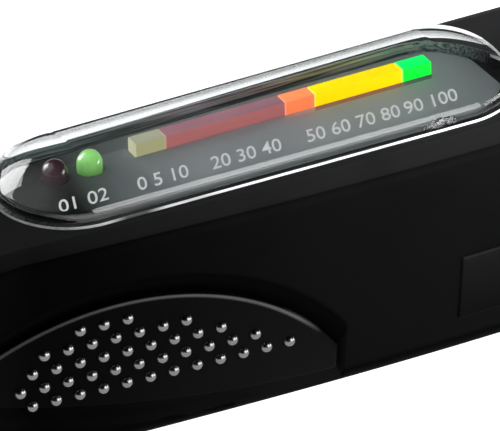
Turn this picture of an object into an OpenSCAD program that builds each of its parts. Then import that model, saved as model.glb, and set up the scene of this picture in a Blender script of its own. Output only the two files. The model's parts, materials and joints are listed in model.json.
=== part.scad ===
// Pen-type diamond tester with a domed display window, studded grips and a spring-loaded probe.
// Millimetres. +X runs from the probe tip to the tail, +Z is up, and the flat belly rests on z = 0.

/* [Housing] */
// Length of the moulded housing from the nose face to the tail
housing_l = 162; // [158:0.5:176]
// Width of the housing behind the grip
body_w = 28; // [27.6:0.1:31]
// Height of the housing from the belly to the window rim
body_h = 30; // [29.6:0.1:33]
// Width of the housing at the front of the grip
waist_w = 22.6; // [22:0.1:24]
// Wall thickness of the two housing halves
wall = 1.6; // [1.4:0.05:1.8]
// Radius of the round nose
nose_r = 6; // [5.8:0.1:6.6]
// Height of the probe axis above the belly
nose_z = 13; // [12:0.1:14]
// Length over which the body draws in to the nose
nose_l = 23; // [22:0.5:24]
// Length over which the grip widens to the full width
widen_l = 62; // [56:1:68]
// Drop of the sloped shoulder beside the window
shoulder_drop = 1.4; // [1.1:0.1:1.8]
// Softening of the shoulder's two long edges
edge_soft = 0.5; // [0.4:0.05:0.6]
// Share of the width that is flat on top
crown_share = 0.8; // [0.78:0.01:0.84]
// Inward lean of each side from the shoulder to the belly
side_lean = 1.6; // [1.2:0.1:2]
// Radius of the lower long edges
corner_r = 3.5; // [3:0.1:4]
// Length of the rounded tail
tail_l = 9; // [7:0.5:11]
// Share of the section that is left at the tail face
tail_keep = 0.76; // [0.7:0.01:0.85]

/* [Window] */
// Distance from the nose face to the front end of the window
window_from_nose = 24.7; // [24.2:0.1:26]
// Length of the clear window lens
lens_l = 66.3; // [64:0.1:68]
// Radius of the window at its front end
lens_front_r = 9.3; // [9:0.1:9.5]
// Radius of the window at its rear end
lens_rear_r = 10; // [9.6:0.1:10.4]
// Height of the lens crown above the rim
lens_crown = 6; // [5:0.1:7]
// Height of the upright skirt above the rim
lens_skirt = 1.5; // [1:0.1:2]
// Thickness of the lens
lens_t = 0.9; // [0.8:0.1:1.2]
// Depth to which the lens sits in the housing
seat_depth = 0.8; // [0.6:0.1:0.9]
// Reach of the housing's ledge inside the lens
ledge_in = 1.3; // [1.2:0.05:1.4]

/* [Display] */
// Thickness of the display panel
panel_t = 1; // [0.8:0.1:1.2]
// Distance from the rear end of the lens to the square rear end of the panel
panel_rear = 3; // [2.5:0.1:4]
// Distance from the panel's face down to the board
stack_h = 4.4; // [4:0.1:5]
// Length of the light bar
bar_l = 38.8; // [36:0.1:40]
// Depth of the light bar across the panel
bar_w = 2; // [1.6:0.1:2.4]
// Height of the light bar above the panel
bar_h = 1.45; // [1.2:0.05:2]
// Distance from the panel's centre line to the light bar
bar_y = 2.3; // [1.8:0.1:2.6]
// Distance from the front of the lens to the light bar
bar_from_lens = 18.7; // [18:0.1:20]
// Diameter of the indicator lamps
lamp_d = 3; // [2.8:0.1:3.2]
// Height of a lamp's dome above the panel
lamp_h = 2.2; // [2:0.1:2.6]
// Distance between the two lamps
lamp_pitch = 4.3; // [4.2:0.1:4.8]
// Distance from the front of the lens to the rear lamp
lamp_from_lens = 13; // [12.6:0.1:13.4]
// Distance from the panel's centre line to the lamps
lamp_y = 2.5; // [2:0.1:2.6]
// Thickness of the circuit board
board_t = 1.6; // [1.4:0.1:1.8]
// Width of the circuit board
board_w = 18; // [17:0.1:18.4]
// Distance from the front of the lens to the front end of the board
board_from_lens = 3; // [2.8:0.1:3.4]
// Reach of the board behind the switch
board_rear = 2.6; // [2:0.1:3]
// Length of one lamp on the board below the light bar
chip_lamp_l = 2; // [1.6:0.1:2.4]
// Height of one lamp on the board below the light bar
chip_lamp_h = 0.8; // [0.6:0.1:1]

/* [Power button] */
// Diameter of the power button
button_d = 9; // [8:0.1:9.4]
// Height of the power button above the housing
button_h = 1.2; // [1:0.1:1.6]
// Travel of the power button
button_travel = 0.6; // [0.4:0.05:0.7]
// Distance from the rear end of the lens to the button's centre
button_from_lens = 7; // [6.8:0.1:7.2]
// Side of the square switch on the board
switch_w = 6; // [5.6:0.1:6.2]
// Height of the square switch on the board
switch_h = 0.9; // [0.8:0.05:0.95]
// Diameter of the switch plunger
plunger_d = 3.2; // [2.8:0.1:3.6]

/* [Grip] */
// Radius of the upper edge of the leaf-shaped grip
leaf_up_r = 34.4; // [34:0.1:35]
// Distance from the nose face to the centre of the upper edge
leaf_up_x = 34.5; // [34:0.1:35]
// Height of the centre of the upper edge
leaf_up_z = -14; // [-14.4:0.1:-13.6]
// Radius of the lower edge of the grip
leaf_low_r = 135.6; // [135:0.1:137]
// Distance from the nose face to the centre of the lower edge
leaf_low_x = 61.5; // [61:0.1:62]
// Height of the lowest point of the lower edge
leaf_low_z = 3.2; // [3:0.1:3.8]
// Length of the leaf behind the centre of its upper edge
leaf_rear_l = 27.6; // [27:0.1:28.4]
// Height at which the grip's face has its stated distance from the parting plane
grip_z = 12; // [11.5:0.1:12.5]
// Distance from the parting plane to the grip's face, abreast of the leaf's middle
grip_y = 10.6; // [10.4:0.1:10.8]
// Turn of the grip's face towards the nose, in degrees
grip_turn = 3.8; // [3.4:0.1:4.2]
// Outward lean of the grip's face towards its top, in degrees
grip_lean = 4; // [3:0.1:5]
// Slope of the hollow's wall round the insert, in degrees
hollow_slope = 58; // [50:1:62]
// Thickness of the grip insert
grip_t = 1.5; // [1.3:0.1:1.6]
// Height at which the insert stands out of the hollow
grip_proud = 0.8; // [0.6:0.1:0.9]
// Diameter of a metal grip stud
stud_d = 1.5; // [1.3:0.1:1.7]
// Height of a stud's dome
stud_h = 0.55; // [0.4:0.05:0.7]
// Diameter of a stud's shank
stud_shank_d = 1; // [0.8:0.05:1.1]
// Distance between the studs of a row
stud_pitch = 2.9; // [2.8:0.05:3]
// Distance between the rows of studs
stud_row = 2.25; // [2.1:0.05:2.3]
// Distance from the nose face to the first stud of the lowest row
stud_from_nose = 23.9; // [23.5:0.1:24.3]
// Height of the first stud of the lowest row
stud_z = 9; // [8.8:0.1:9.2]

/* [Probe] */
// Reach of the probe tip beyond the nose face
probe_reach = 13; // [12:0.1:14]
// Travel of the probe tip when it is pressed
probe_travel = 1.5; // [1:0.1:1.8]
// Diameter of the probe rod
probe_d = 2.6; // [2.4:0.1:2.8]
// Length of the pointed end
point_l = 3.5; // [3:0.1:4]
// Diameter of the blunt end of the point
point_d = 0.8; // [0.6:0.1:1]
// Reach of the barrel beyond the nose face
barrel_reach = 8; // [7.5:0.1:8.5]
// Length of the barrel inside the housing
barrel_in = 16; // [15.5:0.1:16.5]
// Diameter of the barrel inside the housing
barrel_d = 8.4; // [8.2:0.1:8.6]
// Diameter of the barrel outside the housing
barrel_front_d = 6; // [5.8:0.1:6.2]
// Diameter of the spring chamber in the barrel
chamber_d = 6; // [5.8:0.1:6.2]
// Thickness of the barrel's two end walls
barrel_end = 2; // [1.8:0.1:2.4]
// Length of the probe's shoulder
probe_shoulder_l = 1.8; // [1.6:0.1:2.2]
// Diameter of the guide rod behind the shoulder
guide_d = 1.8; // [1.6:0.1:2]
// Length of the nose collar
collar_l = 4; // [3.6:0.1:4.4]
// Length of the spigot that carries the collar
spigot_l = 2; // [1.8:0.1:2.2]
// Wall of the spigot round the barrel
spigot_wall = 0.8; // [0.7:0.05:0.9]
// Wire diameter of the probe spring
probe_wire = 0.5; // [0.4:0.05:0.55]
// Number of turns of the probe spring
probe_turns = 7; // [6:1:8]

/* [Power supply] */
// Diameter of a cell
cell_d = 10.5; // [10.2:0.1:10.6]
// Length of a cell with its contact nub
cell_l = 44.5; // [44:0.1:45]
// Diameter of the contact nub
nub_d = 3.6; // [3.2:0.1:3.8]
// Height of the contact nub
nub_h = 0.9; // [0.8:0.1:1]
// Thickness of a contact plate
contact_t = 0.4; // [0.3:0.05:0.5]
// Side of a square contact plate
contact_w = 7; // [6.6:0.1:7.4]
// Length of a cell spring
cell_spring_l = 4; // [3.6:0.1:4.4]
// Outside diameter of a cell spring
cell_spring_d = 6; // [5.6:0.1:6.4]
// Wire diameter of a cell spring
cell_wire = 0.6; // [0.5:0.05:0.6]
// Number of turns of a cell spring
cell_turns = 3; // [3:1:3]
// Width of the battery door
door_w = 15; // [14:0.1:16]
// Width by which the door's tongues reach under the housing on each side
tongue = 1.4; // [1.2:0.1:1.6]
// Thickness of the door's tongues
tongue_t = 1.2; // [1:0.1:1.4]
// Number of finger ribs on the door
door_ribs = 5; // [3:1:6]

/* [Fasteners] */
// Diameter of a case screw's thread
screw_d = 2; // [1.8:0.1:2.2]
// Diameter of a case screw's head
screw_head_d = 3.8; // [3.6:0.1:4]
// Height of a case screw's head
screw_head_h = 1.4; // [1.2:0.1:1.6]
// Outside diameter of the screw bosses
boss_d = 6; // [5.6:0.1:6.2]
// Distance from the nose face to the front screw
screw_from_nose = 71; // [69:0.5:73]
// Height of the front screw
screw_front_z = 7; // [6.5:0.1:8]
// Height of the lower rear screw
screw_low_z = 8; // [7:0.1:9]
// Height of the upper rear screw
screw_high_z = 18; // [16:0.1:19]
// Distance from the parting plane to the underside of a screw head
screw_head_y = 5; // [4.6:0.1:5.4]
// Reach of a screw beyond the parting plane
screw_reach = 6; // [5:0.1:7]
// Thickness of the ribs and bulkheads
rib_t = 1.2; // [1:0.1:1.3]

/* [Fits] */
// Gap between a piece and its seat in the housing
fit = 0.15; // [0.1:0.01:0.2]
// Gap round a piece that slides
slide_fit = 0.25; // [0.2:0.01:0.3]

/* [Hidden] */
$fn = 64;
fine = 360;

overall_l = housing_l + probe_reach;
tip_x = -overall_l / 2;
nose_x = tip_x + probe_reach;
tail_x = nose_x + housing_l;
shoulder_x = nose_x + nose_l;
full_x = shoulder_x + widen_l;
tail_start_x = tail_x - tail_l;
cut = 0.5;
reach = body_w;

function clamp01(t) = min(1, max(0, t));
function blend(a, b, t) = a + (b - a) * t;
function ease(x, x0, x1) = sin(90 * clamp01((x - x0) / (x1 - x0)));

// Outline of the housing along its length
function nose_ease(x) = ease(x, nose_x, shoulder_x);
function tail_share(x) =
    sqrt(1 - (1 - tail_keep * tail_keep) * pow(clamp01((x - tail_start_x) / tail_l), 2));
function side_y(x) =
    blend(nose_r, blend(waist_w, body_w, ease(x, shoulder_x, full_x)) / 2, nose_ease(x)) * tail_share(x);
function middle_z(x) = blend(nose_z, body_h / 2, nose_ease(x));
function top_z(x) = middle_z(x) + (blend(nose_r, body_h / 2, nose_ease(x))) * tail_share(x);
function belly_z(x) = middle_z(x) - (blend(nose_r, body_h / 2, nose_ease(x))) * tail_share(x);

// Half of a cross-section from the top centre line round the side to the belly
side_steps = 6;
corner_steps = 5;
function body_half(w, top, belly) =
    let (flat = crown_share * w,
         e = edge_soft,
         edge_z = top - shoulder_drop,
         side_z = edge_z - 1.4 * e,
         r = min(corner_r, w / 2),
         foot_y = w - side_lean)
    concat([[0, top], [flat / 2, top], [flat - 0.6 * e, top], [flat + 0.4 * e, top - 0.3 * e],
            [w - e, edge_z + 0.24 * e], [w - 0.2 * e, edge_z - 0.4 * e], [w, side_z]],
           [for (i = [1:side_steps]) let (t = i / side_steps)
               [w - side_lean * pow(t, 1.5), blend(side_z, belly + r, t)]],
           [for (i = [1:corner_steps]) let (a = 90 * i / corner_steps)
               [foot_y - r + r * cos(a), belly + r - r * sin(a)]],
           [[0, belly]]);
function rounded(p, w, z, share) =
    let (d = p - [0, z])
    p * (1 - share) + ([0, z] + d * w / norm(d)) * share;
// The same half drawn in by g and drawn round towards the nose
function half_section(x, g) =
    let (w = side_y(x) - g,
         top = top_z(x) - g,
         belly = belly_z(x) + g)
    [for (p = body_half(w, top, belly)) rounded(p, w, (top + belly) / 2, 1 - nose_ease(x))];

nose_steps = 8;
grip_steps = 12;
back_steps = 2;
tail_steps = 5;
stations = concat([for (i = [0:nose_steps]) nose_x + nose_l * i / nose_steps],
                  [for (i = [1:grip_steps]) blend(shoulder_x, full_x, i / grip_steps)],
                  [for (i = [1:back_steps]) blend(full_x, tail_start_x, i / back_steps)],
                  [for (i = [1:tail_steps]) tail_start_x + tail_l * sin(90 * i / tail_steps)]);

// Solid right half of the housing's form, drawn in by g and from x0 to x1, reaching over by lap
module half_loft(g, x0, x1, lap) {
    xs = [for (x = stations) blend(x0, x1, (x - nose_x) / housing_l)];
    rings = [for (x = xs) [for (p = half_section(x, g)) [x, p[0] < 0.01 ? -lap : p[0], p[1]]]];
    n = len(rings[0]);
    m = len(rings);
    sides = [for (i = [0:m - 2]) for (j = [0:n - 1]) let (k = (j + 1) % n)
        each [[i * n + j, (i + 1) * n + k, (i + 1) * n + j], [i * n + j, i * n + k, (i + 1) * n + k]]];
    last = (m - 1) * n;
    ends = [for (j = [0:n - 3]) each [[n - 1, j + 1, j], [last + n - 1, last + j, last + j + 1]]];
    polyhedron([for (ring = rings) each ring], concat(sides, ends), convexity = 8);
}
module half_form(g = 0) {
    half_loft(g, nose_x, tail_x, 0);
}
module half_cavity() {
    half_loft(wall, nose_x + wall, tail_x - wall, cut);
}
module box(x0, x1, y0, y1, z0, z1) {
    translate([x0, y0, z0]) cube([x1 - x0, y1 - y0, z1 - z0]);
}
module along_x(x) {
    translate([x, 0, nose_z]) rotate([0, 90, 0]) children();
}

// Window outline
lens_x0 = nose_x + window_from_nose;
lens_x1 = lens_x0 + lens_l;
lens_front_c = lens_x0 + lens_front_r;
lens_rear_c = lens_x1 - lens_rear_r;
lens_foot_z = body_h - seat_depth;
function outline_tilt(ra, rb) = acos((ra - rb) / (lens_rear_c - lens_front_c));
module window_outline(inset) {
    ra = lens_front_r - inset;
    rb = lens_rear_r - inset;
    a = outline_tilt(ra, rb);
    translate([lens_front_c, 0]) circle(ra);
    translate([lens_rear_c, 0]) circle(rb);
    polygon([[lens_front_c + ra * cos(a), ra * sin(a)], [lens_rear_c + rb * cos(a), rb * sin(a)],
             [lens_rear_c + rb * cos(a), -rb * sin(a)], [lens_front_c + ra * cos(a), -ra * sin(a)]]);
}
ledge = lens_t + ledge_in;

// Display stack
panel_z1 = body_h;
panel_z0 = panel_z1 - panel_t;
board_z1 = panel_z1 - stack_h;
board_z0 = board_z1 - board_t;
board_x0 = lens_x0 + board_from_lens;
button_x = lens_x1 + button_from_lens;
board_x1 = button_x + switch_w / 2 + board_rear;
bar_x0 = lens_x0 + bar_from_lens;
// Share of the light bar's length at which each segment starts and ends
bar_shares = [0, 0.1, 0.5, 0.6, 0.9, 1];
light_gap = 0.1;
bar_z0 = board_z1 + chip_lamp_h + light_gap;
rail_top_z = board_z1 + fit + 2 * rib_t;
lamp_x = lens_x0 + lamp_from_lens;

// Probe
barrel_x0 = nose_x - barrel_reach;
barrel_x1 = nose_x + barrel_in;
chamber_x0 = nose_x - spigot_l + barrel_end;
chamber_x1 = barrel_x1 - barrel_end;
probe_shoulder_x = chamber_x0 + fit;
spigot_d = barrel_d + 2 * fit + 2 * spigot_wall;
nose_rib_in = 3;
nose_rib_x = barrel_x1 - nose_rib_in;

// Battery bay
bay_gap = 0.5;
bay_x0 = board_x1 + bay_gap + rib_t;
cell_x0 = bay_x0 + contact_t + cell_spring_l;
cell_x1 = cell_x0 + cell_l;
bay_x1 = cell_x1 + contact_t;
door_x0 = bay_x0 + bay_gap;
door_in_z = wall + slide_fit + tongue_t;
low_cell_z = door_in_z + slide_fit + cell_d / 2;
cell_gap = 0.3;
high_cell_y = (cell_d + cell_gap) / 2;
high_cell_z = low_cell_z + sqrt(3) * high_cell_y;
cell_places = [[0, low_cell_z], [high_cell_y, high_cell_z], [-high_cell_y, high_cell_z]];

// Case screws along Y at these places
boss_gap = 1;
screw_rear_x = bay_x0 - rib_t - boss_d / 2 - boss_gap;
screw_places = [[nose_x + screw_from_nose, screw_front_z],
                [screw_rear_x, screw_low_z], [screw_rear_x, screw_high_z]];

// Grip frame: X along the leaf, Y up the side and Z out of the housing, from the insert's face
leaf_mid_x = nose_x + leaf_up_x;
module grip_frame() {
    translate([leaf_mid_x, grip_y, grip_z]) rotate([-grip_lean, 0, grip_turn])
        mirror([0, 1, 0]) rotate([90, 0, 0]) children();
}
leaf_up_c = [0, leaf_up_z - grip_z];
leaf_low_c = [leaf_low_x - leaf_up_x, leaf_low_z + leaf_low_r - grip_z];
module leaf(grow) {
    intersection() {
        translate(leaf_up_c) circle(leaf_up_r + grow, $fn = fine);
        translate(leaf_low_c) circle(leaf_low_r + grow, $fn = fine);
        translate([-leaf_up_r, -leaf_up_r]) square([leaf_up_r + leaf_rear_l + grow, 2 * leaf_up_r]);
    }
}
// Number of studs in each row from the lowest up, and each row's start in stud distances
stud_counts = [12, 11, 9, 7, 3];
stud_starts = [0, -0.5, 0, 0.5, 2];
stud_places = [for (row = [0:len(stud_counts) - 1]) for (i = [0:stud_counts[row] - 1])
    [stud_from_nose - leaf_up_x + (stud_starts[row] + i) * stud_pitch,
     stud_z + row * stud_row - grip_z]];

// Hollow and pocket that take a grip insert
module grip_cut() {
    depth = 6;
    margin = 0.4;
    flare = depth * tan(hollow_slope);
    up_r = leaf_up_r + margin;
    low_r = leaf_low_r + margin;
    grip_frame() {
        translate([0, 0, -grip_t - fit]) linear_extrude(depth) leaf(fit);
        translate([0, 0, -grip_proud]) intersection() {
            translate(leaf_up_c) cylinder(h = depth, r1 = up_r, r2 = up_r + flare, $fn = fine);
            translate(leaf_low_c) cylinder(h = depth, r1 = low_r, r2 = low_r + depth, $fn = fine);
            translate([-leaf_up_r, -leaf_up_r, 0])
                cube([leaf_up_r + leaf_rear_l + margin, 2 * leaf_up_r, depth]);
        }
    }
}
module grip_backing() {
    grip_frame() translate([0, 0, -grip_t - fit - wall]) linear_extrude(grip_t + wall) leaf(fit + wall);
}

// Ribs, rails, saddles, bulkheads and bosses inside one half
module inner_ribs() {
    rail_lap = 1.2;
    saddle_in = 2;
    rail_y = board_w / 2 - rail_lap;
    box(board_x0, board_x1, rail_y, reach, board_z0 - rib_t, board_z0);
    box(board_x0, board_x1, rail_y, reach, board_z1 + fit, board_z1 + fit + rib_t);
    for (x = [nose_rib_x, bay_x0 - rib_t, bay_x1])
        box(x, x + rib_t, 0, reach, 0, body_h);
    for (share = [0.25, 0.75])
        box(cell_x0 + cell_l * share, cell_x0 + cell_l * share + rib_t, high_cell_y + saddle_in, reach,
            high_cell_z - cell_d / 2, high_cell_z + cell_d / 2);
    for (p = screw_places)
        translate([p[0], 0, p[1]]) rotate([-90, 0, 0]) cylinder(d = boss_d, h = reach);
    grip_backing();
}
module window_cut() {
    translate([0, 0, lens_foot_z]) linear_extrude(lens_crown) window_outline(-fit);
    translate([0, 0, rail_top_z]) linear_extrude(body_h) window_outline(ledge);
}
module door_channel() {
    x0 = door_x0 - slide_fit;
    top = door_in_z + slide_fit;
    box(x0, tail_x + cut, -cut, door_w / 2 + slide_fit, -cut, top);
    box(x0, tail_x + cut, -cut, door_w / 2 + tongue + slide_fit, wall, top);
}
module cells(grow) {
    for (p = cell_places)
        translate([cell_x0 - grow, p[0], p[1]]) rotate([0, 90, 0])
            cylinder(d = cell_d + 2 * grow, h = cell_l - nub_h + 2 * grow);
}

// One half of the housing; heads says whether the screw heads sink into it
module shell_half(heads) {
    difference() {
        union() {
            difference() {
                half_form();
                half_cavity();
            }
            intersection() {
                half_form(wall / 2);
                inner_ribs();
            }
            intersection() {
                along_x(nose_x - spigot_l) cylinder(d = spigot_d, h = spigot_l + wall);
                box(nose_x - spigot_l, nose_x + wall, 0, reach, 0, body_h);
            }
        }
        window_cut();
        door_channel();
        grip_cut();
        cells(fit);
        along_x(nose_x - spigot_l - cut)
            cylinder(d = barrel_d + 2 * fit, h = barrel_in + spigot_l + cut + fit);
        translate([button_x, 0, rail_top_z]) cylinder(d = button_d + 2 * slide_fit, h = body_h);
        for (p = screw_places)
            translate([p[0], 0, p[1]]) rotate([-90, 0, 0]) {
                translate([0, 0, -cut])
                    cylinder(d = screw_d + 2 * fit, h = heads ? reach : screw_reach + 2 * cut);
                if (heads)
                    translate([0, 0, screw_head_y]) cylinder(d = screw_head_d + 2 * fit, h = reach);
            }
    }
}
module left_shell() {
    color("#17181a") mirror([0, 1, 0]) shell_half(false);
}
module right_shell() {
    color("#17181a") shell_half(true);
}

// Sliding door in the belly, with tongues that run behind the housing's edges
module battery_door() {
    rib_step = 2.4;
    rib_w = 1.2;
    rib_d = 0.6;
    color("#1b1c1e") difference() {
        intersection() {
            union() {
                half_form();
                mirror([0, 1, 0]) half_form();
            }
            union() {
                box(door_x0, tail_x, -door_w / 2, door_w / 2, 0, door_in_z);
                box(door_x0, tail_x, -door_w / 2 - tongue, door_w / 2 + tongue, wall + slide_fit, door_in_z);
            }
        }
        for (i = [0:door_ribs - 1])
            box(tail_x - tail_l - i * rib_step - rib_w, tail_x - tail_l - i * rib_step,
                -door_w / 4, door_w / 4, -cut, rib_d);
    }
}

// Clear lens: a domed shell whose rings shrink towards the crown line
lens_sides = 20;
lens_rings = 9;
function lens_ring(ra, rb, z) =
    let (a = outline_tilt(ra, rb))
    concat([for (i = [0:lens_sides]) let (t = blend(a, 360 - a, i / lens_sides))
               [lens_front_c + ra * cos(t), ra * sin(t), z]],
           [for (i = [0:lens_sides]) let (t = blend(-a, a, i / lens_sides))
               [lens_rear_c + rb * cos(t), rb * sin(t), z]]);
function crown_rise(share, rise) =
    let (r = (lens_rear_r * lens_rear_r + rise * rise) / (2 * rise))
    sqrt(r * r - pow(share * lens_rear_r, 2)) - r + rise;
module lens_dome(inset, foot_z, wall_z, crown_z) {
    ra = lens_front_r - inset;
    rb = lens_rear_r - inset;
    shares = [for (i = [0:lens_rings]) max(0.02, cos(90 * i / lens_rings))];
    rings = concat([lens_ring(ra, rb, foot_z)],
                   [for (s = shares) lens_ring(ra * s, rb * s, wall_z + crown_rise(s, crown_z - wall_z))]);
    n = len(rings[0]);
    m = len(rings);
    sides = [for (i = [0:m - 2]) for (j = [0:n - 1]) let (k = (j + 1) % n)
        each [[i * n + j, (i + 1) * n + j, (i + 1) * n + k], [i * n + j, (i + 1) * n + k, i * n + k]]];
    ends = [[for (j = [0:n - 1]) j], [for (j = [n - 1:-1:0]) (m - 1) * n + j]];
    polyhedron([for (ring = rings) each ring], concat(sides, ends), convexity = 6);
}
module window_lens() {
    color("#dfe6ea", 0.35) difference() {
        lens_dome(0, lens_foot_z, body_h + lens_skirt, body_h + lens_crown);
        lens_dome(lens_t, lens_foot_z - cut, body_h + lens_skirt, body_h + lens_crown - lens_t);
    }
}

// Dark face plate under the lens, on four posts that stand on the board
module display_panel() {
    edge = ledge + fit;
    post_d = 2.4;
    post_y = 4.6;
    color("#4a4c50") {
        difference() {
            translate([0, 0, panel_z0]) linear_extrude(panel_t) intersection() {
                polygon([for (p = lens_ring(lens_front_r - edge, lens_rear_r - edge, 0)) [p[0], p[1]]]);
                translate([lens_x0, -reach]) square([lens_l - panel_rear, 2 * reach]);
            }
            box(bar_x0 - fit, bar_x0 + bar_l + fit, bar_y - fit, bar_y + bar_w + fit,
                board_z1, body_h + cut);
            for (i = [0:1])
                translate([lamp_x - i * lamp_pitch, lamp_y, board_z1])
                    cylinder(d = lamp_d + 2 * fit, h = stack_h + cut);
        }
        for (x = [(lamp_x + bar_x0) / 2, lens_x1 - panel_rear - post_d], y = [-post_y, post_y])
            translate([x, y, board_z1]) cylinder(d = post_d, h = panel_z0 - board_z1);
    }
}

// Five light prisms side by side, each over its own lamps on the board
bar_joint = 0.06;
module bar_segment(i) {
    box(bar_x0 + bar_l * bar_shares[i] + bar_joint / 2, bar_x0 + bar_l * bar_shares[i + 1] - bar_joint / 2,
        bar_y, bar_y + bar_w, bar_z0, body_h + bar_h);
}
module bar_pale_yellow() {
    color("#b9b06a") bar_segment(0);
}
module bar_red() {
    color("#a8282c") bar_segment(1);
}
module bar_orange() {
    color("#f0703c") bar_segment(2);
}
module bar_yellow() {
    color("#ffe60a") bar_segment(3);
}
module bar_green() {
    color("#12e84a") bar_segment(4);
}
module bar_lamps() {
    count = 14;
    step = bar_l / count;
    color("#f2efe2") for (i = [0:count - 1])
        box(bar_x0 + (i + 0.5) * step - chip_lamp_l / 2, bar_x0 + (i + 0.5) * step + chip_lamp_l / 2,
            bar_y + bar_w / 4, bar_y + bar_w * 3 / 4, board_z1, board_z1 + chip_lamp_h);
}

// Indicator lamp with its rim and two leads
module lamp(x) {
    rim_h = 0.7;
    rim_d = lamp_d + rim_h;
    rim_z = panel_z0 - fit - rim_h;
    lead = 0.5;
    translate([x, lamp_y, 0]) {
        translate([0, 0, rim_z]) cylinder(d = rim_d, h = rim_h);
        translate([0, 0, rim_z]) cylinder(d = lamp_d, h = panel_z1 + lamp_h - lamp_d / 2 - rim_z);
        translate([0, 0, panel_z1 + lamp_h - lamp_d / 2]) sphere(d = lamp_d);
        for (y = [-lamp_d / 4, lamp_d / 4])
            box(-lead / 2, lead / 2, y - lead / 2, y + lead / 2, board_z1, rim_z + rim_h / 2);
    }
}
module ready_lamp() {
    color("#3fdc55") lamp(lamp_x);
}
module low_battery_lamp() {
    color("#7a1217") lamp(lamp_x - lamp_pitch);
}

// Circuit board and what sits on it
module main_board() {
    color("#1f5a35") box(board_x0, board_x1, -board_w / 2, board_w / 2, board_z0, board_z1);
}
module board_chips() {
    // Start, length and width of each chip, as shares of the bar's length and the board's width
    chips = [[0.31, 0.39, 0.39], [0, 0.28, 0.22], [0.66, 0.33, 0.22]];
    chip_h = board_t * 0.6;
    color("#1a1a1c") for (c = chips)
        box(bar_x0 + c[0] * bar_l, bar_x0 + c[0] * bar_l + c[1] * board_w, -c[2] * board_w, 0,
            board_z1, board_z1 + chip_h);
}
module buzzer() {
    buzzer_d = 12;
    buzzer_h = 3.2;
    port_d = 2;
    color("#222325") translate([bar_x0 + bar_l / 2, 0, board_z0 - buzzer_h]) difference() {
        cylinder(d = buzzer_d, h = buzzer_h);
        translate([0, 0, -cut]) cylinder(d = port_d, h = buzzer_h / 2 + cut);
    }
}
module switch_body() {
    color("#c9c9c4") translate([button_x, 0, board_z1]) difference() {
        translate([-switch_w / 2, -switch_w / 2, 0]) cube([switch_w, switch_w, switch_h]);
        translate([0, 0, -cut]) cylinder(d = plunger_d + 2 * fit, h = switch_h + 2 * cut);
    }
}
button_foot_z = board_z1 + switch_h + button_travel + slide_fit;
module switch_plunger() {
    color("#e8e4d8") translate([button_x, 0, board_z1 + button_travel + fit / 2])
        cylinder(d = plunger_d, h = button_foot_z - board_z1 - button_travel - fit / 2);
}

// Round button with a flange that stays under the housing's top
module power_button() {
    flange = 1.2;
    flange_d = button_d + 2 * flange;
    flange_top = body_h - wall - fit;
    edge = 0.5;
    top = body_h + button_h;
    color("#2a2b2e") translate([button_x, 0, 0]) rotate_extrude()
        polygon([[0, button_foot_z], [flange_d / 2, button_foot_z], [flange_d / 2, flange_top],
                 [button_d / 2, flange_top], [button_d / 2, top - edge], [button_d / 2 - edge, top],
                 [button_d / 4, top - edge / 4], [0, top - edge / 3]]);
}

// Leaf-shaped grip inserts with their metal studs
module grip_insert() {
    lip = 0.3;
    grip_frame() difference() {
        union() {
            translate([0, 0, -grip_t]) linear_extrude(grip_t - lip) leaf(0);
            translate([0, 0, -lip]) linear_extrude(lip) leaf(-lip);
        }
        for (p = stud_places)
            translate([p[0], p[1], -grip_t - cut]) cylinder(d = stud_shank_d + fit, h = grip_t + 2 * cut);
    }
}
module left_grip() {
    color("#202124") mirror([0, 1, 0]) grip_insert();
}
module right_grip() {
    color("#202124") grip_insert();
}
module studs() {
    r = (stud_d * stud_d / 4 + stud_h * stud_h) / (2 * stud_h);
    lift = fit / 5;
    grip_frame() for (p = stud_places) translate([p[0], p[1], lift]) {
        intersection() {
            translate([0, 0, stud_h - r]) sphere(r = r);
            cylinder(d = stud_d + fit, h = stud_h + cut);
        }
        translate([0, 0, -grip_t - lift]) cylinder(d = stud_shank_d, h = grip_t + lift + stud_h / 4);
    }
}
module left_studs() {
    color("#d4d6d9") mirror([0, 1, 0]) studs();
}
module right_studs() {
    color("#d4d6d9") studs();
}

// Probe at the nose; profiles run along the axis, measured from the tip
module turned(points) {
    along_x(0) rotate_extrude() polygon(points);
}
module nose_collar() {
    front_x = nose_x - collar_l;
    step_x = nose_x - spigot_l - fit;
    edge = 0.6;
    bore = barrel_front_d / 2 + fit;
    socket = spigot_d / 2 + fit;
    color("#b7babd") turned([[bore, front_x], [nose_r - 2 * edge, front_x], [nose_r - edge, front_x + edge],
        [nose_r, step_x], [nose_r, nose_x], [socket, nose_x], [socket, step_x], [bore, step_x]]);
}
module probe_barrel() {
    edge = 0.8;
    bore = probe_d / 2 + slide_fit;
    rear_bore = guide_d / 2 + slide_fit;
    step_x = nose_x - spigot_l;
    color("#2c2d30") turned([[bore, barrel_x0], [barrel_front_d / 2 - edge, barrel_x0],
        [barrel_front_d / 2, barrel_x0 + 2 * edge], [barrel_front_d / 2, step_x], [barrel_d / 2, step_x],
        [barrel_d / 2, barrel_x1], [rear_bore, barrel_x1], [rear_bore, chamber_x1],
        [chamber_d / 2, chamber_x1], [chamber_d / 2, chamber_x0], [bore, chamber_x0]]);
}
probe_shoulder_end = probe_shoulder_x + probe_shoulder_l;
module probe_tip() {
    shoulder_r = chamber_d / 2 - slide_fit;
    rear_reach = 1;
    rear_x = barrel_x1 + rear_reach;
    color("#c08a4a") turned([[0, tip_x], [point_d / 2, tip_x], [probe_d / 2, tip_x + point_l],
        [probe_d / 2, probe_shoulder_x], [shoulder_r, probe_shoulder_x], [shoulder_r, probe_shoulder_end],
        [guide_d / 2, probe_shoulder_end], [guide_d / 2, rear_x], [0, rear_x]]);
}

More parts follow.
